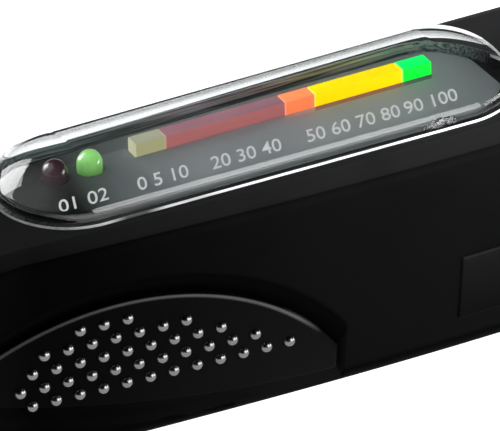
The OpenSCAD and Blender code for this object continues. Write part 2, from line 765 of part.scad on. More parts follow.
// Coil spring along X as one unbroken tube, centred on y and z
module coil(x0, x1, y, z, mean_r, wire, turns) {
    steps = 10;
    sides = 6;
    count = turns * steps;
    pitch = (x1 - x0 - wire) / turns;
    rings = [for (i = [0:count]) let (a = 360 * i / steps)
        [for (k = [0:sides - 1]) let (b = 360 * k / sides, r = mean_r + wire / 2 * cos(b))
            [x0 + wire / 2 + pitch * i / steps + wire / 2 * sin(b), y + r * cos(a), z + r * sin(a)]]];
    faces = [for (i = [0:count - 1]) for (j = [0:sides - 1]) let (k = (j + 1) % sides)
        each [[i * sides + j, (i + 1) * sides + k, (i + 1) * sides + j],
              [i * sides + j, i * sides + k, (i + 1) * sides + k]]];
    ends = [[for (j = [sides - 1:-1:0]) j], [for (j = [0:sides - 1]) count * sides + j]];
    echo(least_gap_between_turns = pitch - wire);
    polyhedron([for (ring = rings) each ring], concat(faces, ends), convexity = 10);
}
module probe_spring() {
    mean_d = (guide_d + chamber_d) / 2;
    color("#c4c7ca") coil(probe_shoulder_end + fit / 2, chamber_x1 - fit / 2, 0, nose_z, mean_d / 2,
        probe_wire, probe_turns);
}

// Three cells, two above one, with a spring and two contact plates each
module battery_cells() {
    color("#a9adb0") {
        cells(0);
        for (p = cell_places)
            translate([cell_x1 - nub_h - cut, p[0], p[1]]) rotate([0, 90, 0])
                cylinder(d = nub_d, h = nub_h + cut);
    }
}
module cell_springs() {
    color("#c4c7ca") for (p = cell_places)
        coil(bay_x0 + contact_t + fit / 2, cell_x0 - fit / 2, p[0], p[1], (cell_spring_d - cell_wire) / 2,
            cell_wire, cell_turns);
}
module cell_contacts() {
    color("#c9b27a") for (p = cell_places, x = [bay_x0, cell_x1])
        box(x, x + contact_t, p[0] - contact_w / 2, p[0] + contact_w / 2,
            p[1] - contact_w / 2, p[1] + contact_w / 2);
}

// Screws that draw the two halves together from the right side
module case_screws() {
    slot_l = screw_head_d * 2 / 3;
    slot_w = screw_head_d * 0.16;
    slot_d = screw_head_h / 2;
    color("#8d9094") for (p = screw_places)
        translate([p[0], 0, p[1]]) rotate([-90, 0, 0]) difference() {
            union() {
                translate([0, 0, screw_head_y]) cylinder(d = screw_head_d, h = screw_head_h);
                translate([0, 0, -screw_reach])
                    cylinder(d = screw_d, h = screw_head_y + screw_reach + cut);
            }
            for (turn = [0, 90])
                rotate([0, 0, turn])
                    translate([-slot_l / 2, -slot_w / 2, screw_head_y + screw_head_h - slot_d])
                        cube([slot_l, slot_w, slot_d + cut]);
        }
}

left_shell();
right_shell();
battery_door();
window_lens();
display_panel();
bar_pale_yellow();
bar_red();
bar_orange();
bar_yellow();
bar_green();
ready_lamp();
low_battery_lamp();
bar_lamps();
main_board();
board_chips();
buzzer();
switch_body();
switch_plunger();
power_button();
left_grip();
right_grip();
left_studs();
right_studs();
nose_collar();
probe_barrel();
probe_tip();
probe_spring();
battery_cells();
cell_springs();
cell_contacts();
case_screws();
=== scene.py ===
"""Finished surfaces of a pen-type diamond tester, built round its packed construction."""

import json
import math
from contextlib import contextmanager

import bpy
from bpy.props import FloatProperty, FloatVectorProperty, PointerProperty
from mathutils import Matrix, Vector


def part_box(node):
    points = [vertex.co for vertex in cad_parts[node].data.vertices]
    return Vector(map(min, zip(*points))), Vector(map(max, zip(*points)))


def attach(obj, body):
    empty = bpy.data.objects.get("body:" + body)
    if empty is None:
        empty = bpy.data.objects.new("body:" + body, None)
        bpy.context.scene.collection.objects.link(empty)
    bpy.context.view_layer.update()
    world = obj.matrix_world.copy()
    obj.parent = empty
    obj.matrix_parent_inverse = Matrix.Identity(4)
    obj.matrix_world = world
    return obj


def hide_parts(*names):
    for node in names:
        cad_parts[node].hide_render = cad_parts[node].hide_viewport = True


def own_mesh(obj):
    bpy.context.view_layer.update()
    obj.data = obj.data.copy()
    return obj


bl_info = {
    "name": "Diamond Tester",
    "version": (1, 0, 0),
    "blender": (4, 5, 0),
    "location": "View3D > Sidebar > Tester",
    "description": "Builds the finished surfaces of a pen-type diamond tester round its packed construction",
    "category": "Object",
}

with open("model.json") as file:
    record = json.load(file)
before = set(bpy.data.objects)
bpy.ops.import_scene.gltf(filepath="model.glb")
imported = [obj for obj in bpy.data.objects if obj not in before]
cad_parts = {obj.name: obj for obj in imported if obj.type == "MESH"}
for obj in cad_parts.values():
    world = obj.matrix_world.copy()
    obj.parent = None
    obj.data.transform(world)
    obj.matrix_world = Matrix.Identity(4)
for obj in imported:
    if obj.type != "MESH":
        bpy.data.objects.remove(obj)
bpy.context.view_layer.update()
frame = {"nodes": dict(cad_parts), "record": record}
MM = 0.001
TINY = 0.001 * MM

SHELL_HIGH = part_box("right_shell")[1]
LENS_LOW, LENS_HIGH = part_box("window_lens")
PANEL_LOW, PANEL_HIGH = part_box("display_panel")
COLLAR_LOW, COLLAR_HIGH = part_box("nose_collar")
BARREL_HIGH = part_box("probe_barrel")[1]
BUTTON_LOW, BUTTON_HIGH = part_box("power_button")
DOOR_LOW, DOOR_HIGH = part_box("battery_door")
CONTACT_LOW, CONTACT_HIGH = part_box("cell_contacts")
SCREW_LOW, SCREW_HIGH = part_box("case_screws")
BUTTON_X = (BUTTON_LOW.x + BUTTON_HIGH.x) / 2
BUTTON_FLANGE_R = (BUTTON_HIGH.x - BUTTON_LOW.x) / 2
BUTTON_R = BUTTON_FLANGE_R - 1.2 * MM
NOSE_X = COLLAR_HIGH.x
NOSE_R = COLLAR_HIGH.y
NOSE_Z = (COLLAR_LOW.z + COLLAR_HIGH.z) / 2
TAIL_X = SHELL_HIGH.x
BODY_HALF = SHELL_HIGH.y
BODY_H = SHELL_HIGH.z
SIDE_STEPS = 92
SCOOP_SOFT = 0.5 * MM

# (share of the length, level) stops of the housing's painted sheen and of the panel's painted shade
PAINTED_SHEEN_TONES = ((0.0, 0.45), (0.07716, 0.4), (0.15123, 0.05), (0.21296, 0.16), (0.35494, 0.62), (0.5216, 1.0),
               (1.0, 1.0))
PANEL_PAINTED_SHADE = ((0.0, 0.01), (0.10, 0.01), (0.19, 0.33), (0.36, 0.66), (0.5, 0.7), (0.8, 0.7), (0.95, 0.49),
               (1.0, 0.41))
# Node, colour of the front, colour of the top (the two differ by painted shading) and strength of each prism
# of the light bar
PRISMS = (
    ("bar_pale_yellow", (0.33, 0.32, 0.17), (0.30, 0.31, 0.22), 1.0),
    ("bar_red", (0.52, 0.172, 0.17), (0.37, 0.18, 0.216), 0.6),
    ("bar_orange", (0.97, 0.215, 0.08), (0.97, 0.27, 0.10), 1.0),
    ("bar_yellow", (0.97, 0.74, 0.0), (0.90, 0.70, 0.0), 1.0),
    ("bar_green", (0.005, 0.98, 0.05), (0.0, 0.98, 0.125), 1.0),
)
# Lit prism, the painted glow of the light that it throws on the panel and how much of the panel's own tone
# that covers
PAINTED_SPILLS = (
    ("bar_orange", (0.10, 0.03, 0.012), 0.0),
    ("bar_yellow", (0.16, 0.0, 0.025), 0.6),
    ("bar_green", (0.02, 0.0, 0.03), 0.6),
)
# Node, name, resin, glow and strength of each indicator lamp
LAMPS = (
    ("ready_lamp", "green", (0.11, 0.34, 0.06), (0.28, 0.68, 0.19), 1.0),
    ("low_battery_lamp", "red", (0.03, 0.002, 0.007), (0.05, 0.0, 0.012), 0.3),
)
# Grain size and depth in millimetres, roughness and shine of each moulded plastic
PLASTICS = {
    "housing_plastic": (0.16, 0.02, 0.6, 0.006),
    "grip_rubber": (0.25, 0.012, 0.5, 0.012),
    "plate_plastic": (0.4, 0.004, 0.45, 0.02),
    "button_plastic": (0.3, 0.006, 0.36, 0.2),
    "barrel_plastic": (0.3, 0.008, 0.4, 0.3),
    "door_plastic": (0.16, 0.02, 0.6, 0.1),
    "chip_resin": (0.2, 0.01, 0.5, 0.4),
    "switch_resin": (0.3, 0.01, 0.45, 0.4),
}
# Roughness of each metal, and how much finer its marks are along each axis
METALS = {
    "stud_chrome": (0.2, (1, 1, 1)),
    "collar_metal": (0.22, (8, 1, 1)),
    "probe_metal": (0.16, (6, 1, 1)),
    "spring_steel": (0.2, (1, 1, 1)),
    "cell_case": (0.25, (0.1, 1, 1)),
    "contact_metal": (0.22, (1, 1, 1)),
    "screw_steel": (0.25, (1, 1, 1)),
}
# Numbers on the panel and the places where they start, in millimetres
NUMERALS = (("01", -43.7), ("02", -40.2), ("0 5 10", -34.0), ("20 30 40", -24.6), ("50 60 70 80", -12.3),
            ("90 100", 0.6))
# Count of studs and start, in pitches, of each row from the lowest up
STUD_ROWS = ((12, 0.0), (11, -0.5), (9, 0.0), (7, 0.5), (3, 2.0))
# Name, place, width, height and power of each soft box, and whether it shines through the lens
SOFT_BOXES = (
    ("right_box", (0.90, -0.50, 0.12), 0.60, 0.40, 6.0, True),
    ("left_box", (-0.50, 0.75, 0.46), 0.60, 0.55, 7.0, True),
    ("front_box", (0.38, -0.86, 0.36), 0.60, 0.60, 8.0, False),
)


def length(name, description, millimetres):
    """A size, shown in the scene's own unit."""
    return FloatProperty(name=name, description=description, default=millimetres * MM, unit="LENGTH")


def share(name, description, value):
    """A share of a size, from nothing to all of it."""
    return FloatProperty(name=name, description=description, default=value, min=0.0, max=1.0,
                         subtype="FACTOR")


def turn(name, description, degrees):
    """An angle, shown in degrees."""
    return FloatProperty(name=name, description=description, default=math.radians(degrees), subtype="ANGLE")


def colour(name, description, value):
    """A colour in linear light."""
    return FloatVectorProperty(name=name, description=description, default=value, size=3, subtype="COLOR",
                               min=0.0, max=1.0)


class HousingSettings(bpy.types.PropertyGroup):
    """Sizes of the moulded housing."""

    waist_width: length("Waist width", "Width of the housing at the front of the grip", 22.6)
    nose_length: length("Nose length", "Length over which the body draws in to the nose", 23)
    widen_length: length("Widening length", "Length over which the grip widens to the full width", 62)
    shoulder_drop: length("Shoulder drop", "Drop of the sloped shoulder beside the window", 1.4)
    edge_soft: length("Edge softening", "Softening of the shoulder's two long edges", 0.5)
    crown_share: share("Flat crown", "Share of the width that is flat on top", 0.8)
    side_lean: length("Side lean", "Inward lean of each side from the shoulder to the belly", 1.6)
    corner_radius: length("Corner radius", "Radius of the lower long edges", 3.5)
    tail_length: length("Tail length", "Length of the rounded tail", 9)
    tail_keep: share("Tail share", "Share of the section that is left at the tail face", 0.76)
    tail_round: length("Tail edge", "Rounding of the tail face's edge", 0.8)
    wall: length("Wall", "Wall thickness of the two halves", 1.6)
    rib: length("Bulkhead", "Thickness of the bulkhead in front of the cells", 1.2)
    fit: length("Fit", "Gap between a piece and its seat in the housing", 0.15)
    slide_fit: length("Sliding fit", "Gap round a piece that slides", 0.25)
    parting: length("Parting gap", "Half of the gap between the two halves", 0.03)


class WindowSettings(bpy.types.PropertyGroup):
    """Sizes of the clear window lens."""

    front_radius: length("Front radius", "Radius of the window at its front end", 9.3)
    skirt: length("Skirt", "Height of the upright skirt above the rim", 1.5)
    thickness: length("Thickness", "Thickness of the lens", 0.9)
    ledge: length("Ledge", "Reach of the housing's ledge inside the lens", 1.3)
    flange: length("Flange", "Width of the flange round the foot", 0.4)
    # Faces of the flange up to the rim carry a painted highlight, those up to the step above it painted
    # shade, and the streaked foot inside the far skirt painted shade with pale painted streaks
    rim: length("Rim", "Height of the flange's bright edge above the housing", 0.36)
    step: length("Step", "Height of the shaded step above the bright edge", 0.24)
    streaks: length("Streaks", "Height of the streaked foot inside the far side of the skirt", 0.7)
    gate_x: length("Gate place", "Place of the torn moulding mark along the tester", 2.1)
    gate_length: length("Gate length", "Length of the torn moulding mark", 4.6)


class GripSettings(bpy.types.PropertyGroup):
    """Sizes of the leaf-shaped grips and their studs."""

    up_radius: length("Upper radius", "Radius of the upper edge", 34.4)
    up_x: length("Upper centre", "Distance from the nose face to the centre of the upper edge", 34.5)
    up_z: length("Upper centre height", "Height of the centre of the upper edge", -14)
    low_radius: length("Lower radius", "Radius of the lower edge", 135.6)
    low_x: length("Lower centre", "Distance from the nose face to the centre of the lower edge", 61.5)
    low_z: length("Lower edge height", "Height of the lowest point of the lower edge", 3.2)
    rear_length: length("Rear length", "Length of the leaf behind the centre of its upper edge", 27.6)
    face_y: length("Face distance", "Distance from the parting plane to the grip's face", 10.6)
    face_z: length("Face height", "Height at which the face has its stated distance", 12)
    face_turn: turn("Turn", "Turn of the face towards the nose", 3.8)
    face_lean: turn("Lean", "Outward lean of the face towards its top", 4)
    hollow_slope: turn("Hollow slope", "Slope of the hollow's wall round the insert", 58)
    hollow_margin: length("Hollow margin", "Width of the hollow's floor round the insert", 0.4)
    thickness: length("Thickness", "Thickness of the insert", 1.5)
    proud: length("Standing height", "Height at which the insert stands out of the hollow", 0.8)
    edge_round: length("Edge rounding", "Rounding of the insert's edge", 0.5)
    stud_width: length("Stud width", "Diameter of a metal stud", 1.5)
    stud_height: length("Stud height", "Height of a stud's dome", 0.55)
    stud_pitch: length("Stud pitch", "Distance between the studs of a row", 2.9)
    stud_row: length("Row distance", "Distance between the rows of studs", 2.25)
    stud_x: length("First stud", "Distance from the nose face to the first stud of the lowest row", 23.9)
    stud_z: length("First stud height", "Height of the first stud of the lowest row", 9)


class FinishSettings(bpy.types.PropertyGroup):
    """Colours of the finishes."""

    # The housing and grip tones show in full only under the painted light on faces that look up; elsewhere
    # they are painted darker
    housing: colour("Housing", "Moulded plastic of the housing", (0.032, 0.0326, 0.0332))
    grip: colour("Grip", "Elastomer of the grip inserts", (0.25, 0.25, 0.253))
    panel: colour("Panel", "Face of the display panel", (0.68, 0.755, 0.77))
    print_ink: colour("Printing", "Pale printing on the panel", (0.88, 0.9, 0.91))
    chrome: colour("Chrome", "Plated studs", (0.17, 0.172, 0.178))
    copper: colour("Probe", "Copper alloy of the probe tip", (0.62, 0.34, 0.17))
    steel: colour("Steel", "Wire of the springs", (0.52, 0.53, 0.55))


class StageSettings(bpy.types.PropertyGroup):
    """Viewpoint and light."""

    azimuth: turn("Azimuth", "Turn of the camera round the tester", -28)
    elevation: turn("Elevation", "Height of the camera above the horizon", 32)
    roll: turn("Roll", "Tilt of the camera about its own axis", -0.4)
    distance: length("Distance", "Distance from the camera to its target", 600)
    target_x: length("Target X", "Target of the camera along the tester", -17.5)
    target_z: length("Target Z", "Height of the camera's target", 19.18)
    focal: FloatProperty(name="Focal length", description="Focal length on a 36 mm wide sensor",
                         default=373.68, unit="CAMERA")
    floor_width: length("Floor width", "Width of the pale floor", 6000)


def blend(first, second, amount):
    """The value that lies that share of the way from first to second."""
    return first + (second - first) * amount


def clamped(value):
    """The value, kept between 0 and 1."""
    return min(1.0, max(0.0, value))


def ease(x, start, end):
    """Rises from 0 at start to 1 at end as a quarter sine."""
    return math.sin(math.pi / 2 * clamped((x - start) / (end - start)))


def soft_min(first, second, width):
    """The lower of two heights, with the corner between them rounded over width."""
    h = clamped(0.5 + 0.5 * (second - first) / width)
    return blend(second, first, h) - width * h * (1 - h)


def quarter_turn(steps, first=1):
    """(cosine, sine) pairs along a quarter turn, from its first step on."""
    angles = [math.pi / 2 * i / steps for i in range(first, steps + 1)]
    return [(math.cos(a), math.sin(a)) for a in angles]


def arc_through(start, corner, end, steps):
    """Points of a soft corner from start to end, drawn towards corner; start itself is left out."""
    points = []
    for i in range(1, steps + 1):
        t = i / steps
        points.append(start * (1 - t) ** 2 + corner * 2 * t * (1 - t) + end * t ** 2)
    return points


class GripFrame:
    """Place of a grip: u along the leaf, v up the side and w out of the right side of the housing."""

    def __init__(self, settings):
        self.s = settings
        swap = Matrix(((1, 0, 0, 0), (0, 0, 1, 0), (0, 1, 0, 0), (0, 0, 0, 1)))
        place = Vector((NOSE_X + settings.up_x, settings.face_y, settings.face_z))
        self.matrix = (Matrix.Translation(place) @ Matrix.Rotation(settings.face_turn, 4, "Z")
                       @ Matrix.Rotation(-settings.face_lean, 4, "X") @ swap)
        self.inverse = self.matrix.inverted()
        self.up_centre = Vector((0, settings.up_z - settings.face_z))
        self.low_centre = Vector((settings.low_x - settings.up_x,
                                  settings.low_z + settings.low_radius - settings.face_z))

    def hollow(self, u, v):
        """Height of the hollow's surface over the grip's face."""
        s = self.s
        margin = s.hollow_margin
        up = (Vector((u, v)) - self.up_centre).length - s.up_radius - margin
        low = (Vector((u, v)) - self.low_centre).length - s.low_radius - margin
        end = u - s.rear_length - margin
        end_slope, floor_soft = 3, 0.4 * MM
        rise = max(up / math.tan(s.hollow_slope), low, end * end_slope)
        return -soft_min(0.0, -rise, floor_soft) - s.proud


class HousingForm:
    """Outline of the housing along its length and round its section."""

    def __init__(self, settings, grip):
        self.s = settings
        self.grip = grip
        self.shoulder_x = NOSE_X + settings.nose_length
        self.full_x = self.shoulder_x + settings.widen_length
        self.tail_start_x = TAIL_X - settings.tail_length

    def nose_ease(self, x):
        """0 at the round nose and 1 where the full section starts."""
        return ease(x, NOSE_X, self.shoulder_x)

    def tail_share(self, x):
        """Share of the section that is left at x."""
        t = clamped((x - self.tail_start_x) / self.s.tail_length)
        return math.sqrt(1 - (1 - self.s.tail_keep ** 2) * t * t)

    def reach(self, x):
        """Half width, top and belly of the section at x."""
        near = self.nose_ease(x)
        width = blend(self.s.waist_width / 2, BODY_HALF, ease(x, self.shoulder_x, self.full_x))
        half_w = blend(NOSE_R, width, near) * self.tail_share(x)
        middle = blend(NOSE_Z, BODY_H / 2, near)
        half_h = blend(NOSE_R, BODY_H / 2, near) * self.tail_share(x)
        return half_w, middle + half_h, middle - half_h

    def section(self, x, inset, side_steps):
        """Half section from the top centre line round the right side to the belly."""
        s = self.s
        half_w, top, belly = self.reach(x)
        w, top, belly = half_w - inset, top - inset, belly + inset
        crown_cut, slope_cut, side_cut = 0.6 * s.edge_soft, 1.1 * s.edge_soft, 1.4 * s.edge_soft
        flat = s.crown_share * w
        crown = Vector((flat, top))
        edge = Vector((w, top - s.shoulder_drop))
        slope = (edge - crown).normalized()
        radius = min(s.corner_radius, w / 2)
        foot = w - s.side_lean
        points = [Vector((0, top)), Vector((flat / 2, top)), Vector((flat - crown_cut, top))]
        points += arc_through(points[-1], crown, crown + slope * crown_cut, 4)
        points += [blend(points[-1], edge - slope * slope_cut, t / 3) for t in (1, 2, 3)]
        points += arc_through(points[-1], edge, edge - Vector((0, side_cut)), 6)
        side_z = points[-1].y
        for i in range(1, side_steps + 1):
            t = i / side_steps
            points.append(Vector((w - s.side_lean * t ** 1.5, blend(side_z, belly + radius, t))))
        for out, down in quarter_turn(10):
            points.append(Vector((foot - radius + radius * out, belly + radius - radius * down)))
        points += [Vector(((foot - radius) / 2, belly)), Vector((0, belly))]
        middle = Vector((0, (top + belly) / 2))
        round_share = 1 - self.nose_ease(x)
        return [blend(p, middle + (p - middle).normalized() * w, round_share) for p in points]

    def scooped(self, point, depth, softness):
        """The point, drawn in to the grip's hollow where that lies deeper."""
        local = self.grip.inverse @ point
        floor = self.grip.hollow(local.x, local.y) - depth
        if local.z < floor - softness:
            return point
        local.z = soft_min(local.z, floor, softness)
        return self.grip.matrix @ local


class Shade:
    """A shader socket that Python expressions can be written on."""

    def __init__(self, tree, socket):
        self.tree = tree
        self.socket = socket

    def make(self, kind, settings=None, inputs=None, output=0):
        """Adds a node of that type: its settings or a ramp's stops come first, then its sockets."""
        node = self.tree.nodes.new(kind)
        for name, value in (settings or {}).items():
            if name == "stops":
                self.set_stops(node.color_ramp.elements, value)
            else:
                setattr(node, name, value)
        for name, value in (inputs or {}).items():
            self.feed(node.inputs[name], value)
        return Shade(self.tree, node.outputs[output])

    @staticmethod
    def set_stops(elements, stops):
        """Grey levels of a ramp, as (share, level) stops."""
        while len(elements) < len(stops):
            elements.new(1.0)
        for element, (place, value) in zip(elements, stops):
            element.position = place
            element.color = (value, value, value, 1.0)

    def feed(self, socket, value):
        """Links a shade to a socket, or sets a plain value on it."""
        if isinstance(value, Shade):
            self.tree.links.new(value.socket, socket)
        else:
            socket.default_value = value

    def maths(self, operation, first, second):
        """A Math node on two values."""
        return self.make("ShaderNodeMath", {"operation": operation}, {0: first, 1: second})

    def __add__(self, other):
        return self.maths("ADD", self, other)

    __radd__ = __add__

    def __sub__(self, other):
        return self.maths("SUBTRACT", self, other)

    def __rsub__(self, other):
        return self.maths("SUBTRACT", other, self)

    def __mul__(self, other):
        return self.maths("MULTIPLY", self, other)

    __rmul__ = __mul__

    def __gt__(self, other):
        return self.maths("GREATER_THAN", self, other)

    def __lt__(self, other):
        return self.maths("LESS_THAN", self, other)

    def axis(self, name):
        """One component of a vector."""
        return self.make("ShaderNodeSeparateXYZ", None, {0: self}, "XYZ".index(name))

    def noise(self, size, detail=2.0, roughness=0.5):
        """Soft noise whose grain has that size in metres."""
        return self.make("ShaderNodeTexNoise", None,
                         {"Vector": self, "Scale": 1 / size, "Detail": detail, "Roughness": roughness})

    def stretched(self, factors):
        """The coordinates, multiplied axis by axis."""
        return self.make("ShaderNodeVectorMath", {"operation": "MULTIPLY"}, {0: self, 1: factors})

    def ranged(self, low, high, start=0.0, end=1.0):
        """Maps low to start and high to end, and stays between them."""
        return self.make("ShaderNodeMapRange", {"clamp": True},
                         {"Value": self, "From Min": low, "From Max": high, "To Min": start, "To Max": end})

    def level(self, stops):
        """Level at this share of the way, read off (share, level) stops."""
        return self.make("ShaderNodeValToRGB", {"stops": stops}, {"Fac": self})

    def tint(self, first, second):
        """Mixes two colours by this value."""
        colours = {0: self, 6: rgba(first), 7: rgba(second)}
        return self.make("ShaderNodeMix", {"data_type": "RGBA"}, colours, 2)

    def bump(self, strength, depth):
        """A normal that this height disturbs."""
        return self.make("ShaderNodeBump", None, {"Strength": strength, "Distance": depth, "Height": self})


def rgba(value):
    """A colour with its alpha, or a shade as it is."""
    if isinstance(value, Shade):
        return value
    return (*value, 1.0)


def dimmed(value, part):
    """That part of a colour."""
    return tuple(c * part for c in value)


class Finish:
    """A new material: its fixed values are set on the shader, and its patterns are linked to it."""

    def __init__(self, name, values):
        self.material = bpy.data.materials.new(name)
        self.material.use_nodes = True
        self.tree = self.material.node_tree
        self.shader = self.tree.nodes["Principled BSDF"]
        for key, value in values.items():
            self.shader.inputs[key].default_value = value
        coordinates = self.tree.nodes.new("ShaderNodeTexCoord")
        self.place = Shade(self.tree, coordinates.outputs["Object"])
        self.normal = Shade(self.tree, coordinates.outputs["Normal"])

    def set(self, **links):
        """Links shades to the shader's sockets, named in small letters."""
        for key, value in links.items():
            socket = self.shader.inputs[key.replace("_", " ").title()]
            self.place.feed(socket, value)
        return self.material


def moulded_plastic(name, base, tone=None):
    """Moulded plastic with a spark-eroded grain; tone may set its colour by the place on the piece."""
    grain, depth, rough, shine = PLASTICS[name]
    f = Finish(name, {"Specular IOR Level": shine})
    wide = f.place.noise(9 * MM, 3)
    spark = f.place.noise(grain * MM, 3, 0.65)
    speckle = (wide * 0.5 + spark * 0.5).ranged(0.35, 0.65, 0.75, 1.25)
    return f.set(
        base_color=speckle.tint((0, 0, 0), tone(f, base) if tone else base),
        roughness=spark.ranged(0.3, 0.7, rough - 0.07, rough + 0.07) + (wide - 0.5) * 0.08,
        normal=spark.bump(0.5, depth * MM),
    )


def painted_light_and_shade(low_z, high_z, flank=0.25, steep=0.0, flat=1.0):
    """Tone of a black piece painted pale where light falls from above, more from low_z to high_z and as the
    normal rises to flat, and painted darker on its flanks: painted light and shade.
    """
    def tone(f, base):
        slope = f.normal.axis("Z")
        along = f.place.axis("X").ranged(NOSE_X, TAIL_X)
        # Painted shade on the faces that look down, scaled by the painted sheen along the tester
        side = (slope.ranged(-0.2, 0.05, 0.03, flank) * along.level(PAINTED_SHEEN_TONES)).tint((0, 0, 0), base)
        # Painted light on the faces that look up: stronger high up and towards the tail
        upward = slope.ranged(steep, 0.95) * slope.ranged(flat + 0.3, flat)
        painted_top_light = upward * f.place.axis("Z").ranged(low_z, high_z) * along.ranged(0.15, 0.5, 0.35, 1.0)
        return painted_top_light.tint(side, base)
    return tone


def clear_plastic():
    """Polished clear plastic with a few hairline rubs."""
    f = Finish("clear_plastic", {"Base Color": (0.97, 0.985, 0.99, 1), "Transmission Weight": 1.0,
                                 "IOR": 1.49})
    rubs = f.place.stretched((0.12, 1, 1)).noise(0.5 * MM, 4, 0.7)
    return f.set(roughness=rubs.ranged(0.62, 0.78, 0.0, 0.05))


def seat_shadow():
    """Painted shade at the foot of the lens where it sits in the black housing, with pale painted streaks on
    the far side.
    """
    f = Finish("seat_shadow", {"Specular IOR Level": 0.3})
    streak = f.place.stretched((0.02, 1, 1)).noise(0.3 * MM, 3)
    far = f.place.axis("Y").ranged(2 * MM, 8 * MM)
    near_painted_shade = streak.tint((0.004, 0.005, 0.0055), (0.03, 0.036, 0.038))
    far_painted_streaks = streak.ranged(0.32, 0.62).tint((0.10, 0.125, 0.13), (0.85, 0.97, 1.0))
    return f.set(base_color=far.tint(near_painted_shade, far_painted_streaks), roughness=streak.ranged(0.3, 0.7, 0.2, 0.4))


def painted_rim_highlight():
    """Painted highlight on the edge of the lens, a white colour that also glows: strongest at the rear of
    the near side.
    """
    f = Finish("painted_rim_highlight", {"Specular IOR Level": 0.4, "Emission Strength": 1.1})
    x, y = f.place.axis("X"), f.place.axis("Y")
    streak = f.place.stretched((0.08, 1, 1)).noise(0.5 * MM, 3).ranged(0.3, 0.6, 0.55, 1.0)
    along = x.ranged(-46 * MM, 4 * MM, 0.14, 1.0)
    gap_start, gap_end, fade = -38 * MM, -35.5 * MM, 2.4 * MM
    gap = x.ranged(gap_start - fade, gap_start) * x.ranged(gap_end + fade, gap_end)
    near = y.ranged(4 * MM, -4 * MM, 0.12, 1.0)
    light = streak * along * near * (1 - gap * 0.9)
    tone = light.tint((0.01, 0.01, 0.011), (1.0, 1.0, 1.0))
    return f.set(base_color=tone, emission_color=tone, roughness=streak.ranged(0.5, 1.0, 0.3, 0.15))


def panel_face(settings):
    """Dark panel with a soft sheen, painted shade along it and behind the bar, and the light that the bar
    throws on it painted on as a glow.
    """
    f = Finish("panel_face", {"Specular IOR Level": 0.1, "Emission Strength": 1.0})
    fine = f.place.noise(0.25 * MM, 3)
    wide = f.place.noise(14 * MM, 2)
    bar_low, bar_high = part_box("bar_green")
    spill, shade_edge, shade_end = 0.95 * MM, 0.3 * MM, 4 * MM
    slant = 0.53
    y = f.place.axis("Y")
    x = f.place.axis("X") - (y - bar_low.y) * slant
    beside = (y > bar_low.y - spill) * (y < bar_low.y)
    # Painted shadow on the panel just behind the bar
    behind = y.ranged(bar_high.y, bar_high.y + shade_edge) * x.ranged(bar_high.x, bar_high.x - shade_end)
    along = f.place.axis("X").ranged(PANEL_LOW.x, PANEL_HIGH.x)
    # Painted shade along the panel, darkest at the lamps' end
    tone = along.level(PANEL_PAINTED_SHADE) * (wide * 0.3 + fine * 0.1 + 0.8) * (1 - behind * 0.3)
    # The bar's light on the panel is a painted glow, which also covers part of the panel's own tone
    glow = (0, 0, 0)
    for name, light, cover in PAINTED_SPILLS:
        low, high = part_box(name)
        lit = beside * (x > low.x) * (x < high.x)
        glow = lit.tint(glow, light)
        tone = tone * (1 - lit * cover)
    return f.set(
        base_color=tone.tint((0, 0, 0), settings.panel),
        roughness=fine.ranged(0.3, 0.7, 0.36, 0.46),
        emission_color=glow,
    )


def light_prism(name, low, high, front, top, strength):
    """Translucent prism between two corners: its faces glow in their own tones, with painted shading that
    sets the top apart from the front, and its ends are paler.
    """
    f = Finish(name, {"Emission Strength": strength, "Roughness": 0.3, "Specular IOR Level": 0.15})
    up = f.normal.axis("Z").ranged(0.2, 0.8)
    cloud = f.place.stretched((0.25, 1, 1)).noise(1.6 * MM, 3)
    painted_face_shading = up.tint(front, top)
    dim = cloud.ranged(0.25, 0.75, 0.86, 1.0)
    x = f.place.axis("X")
    end = 0.08 * MM
    joint = ((x < low.x + end) + (x > high.x - end)) * 0.15
    tone = joint.tint(dim.tint((0, 0, 0), painted_face_shading), (0.95, 0.9, 0.85))
    return f.set(base_color=tone, emission_color=tone)


def lamp_resin(name, base, glow, strength):
    """Moulded lamp resin with a bright heart under its dome."""
    crown_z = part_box("ready_lamp")[1].z
    f = Finish(name, {"Emission Strength": strength, "Coat Weight": 1.0, "Coat Roughness": 0.03,
                      "Specular IOR Level": 0.5})
    heart = f.place.axis("Z").ranged(PANEL_HIGH.z, crown_z)
    cloud = f.place.noise(0.8 * MM, 2)
    inner = heart * (cloud * 0.6 + 0.7)
    return f.set(
        base_color=cloud.tint(dimmed(base, 0.7), base),
        roughness=cloud.ranged(0.3, 0.7, 0.08, 0.18),
        emission_color=inner.tint(dimmed(glow, 0.25), glow),
    )


def plated_metal(name, base):
    """Bright metal with fine marks and faint tarnish."""
    rough, streak = METALS[name]
    f = Finish(name, {"Metallic": 1.0})
    marks = f.place.stretched(streak).noise(0.25 * MM, 4, 0.6)
    tarnish = f.place.noise(2.5 * MM, 2)
    return f.set(
        base_color=(marks * 0.5 + tarnish * 0.5).tint(dimmed(base, 0.82), base),
        roughness=marks.ranged(0.3, 0.7, rough, rough + 0.08),
        normal=marks.bump(0.08, 0.01 * MM),
    )


def board_laminate():
    """Green solder mask with faint tracks under it."""
    f = Finish("board_laminate", {"Specular IOR Level": 0.5})
    tracks = f.place.stretched((1, 0.2, 1)).noise(1.2 * MM, 1)
    return f.set(
        base_color=tracks.ranged(0.5, 0.52).tint((0.012, 0.09, 0.03), (0.03, 0.17, 0.06)),
        roughness=f.place.noise(0.5 * MM).ranged(0.3, 0.7, 0.3, 0.42),
    )


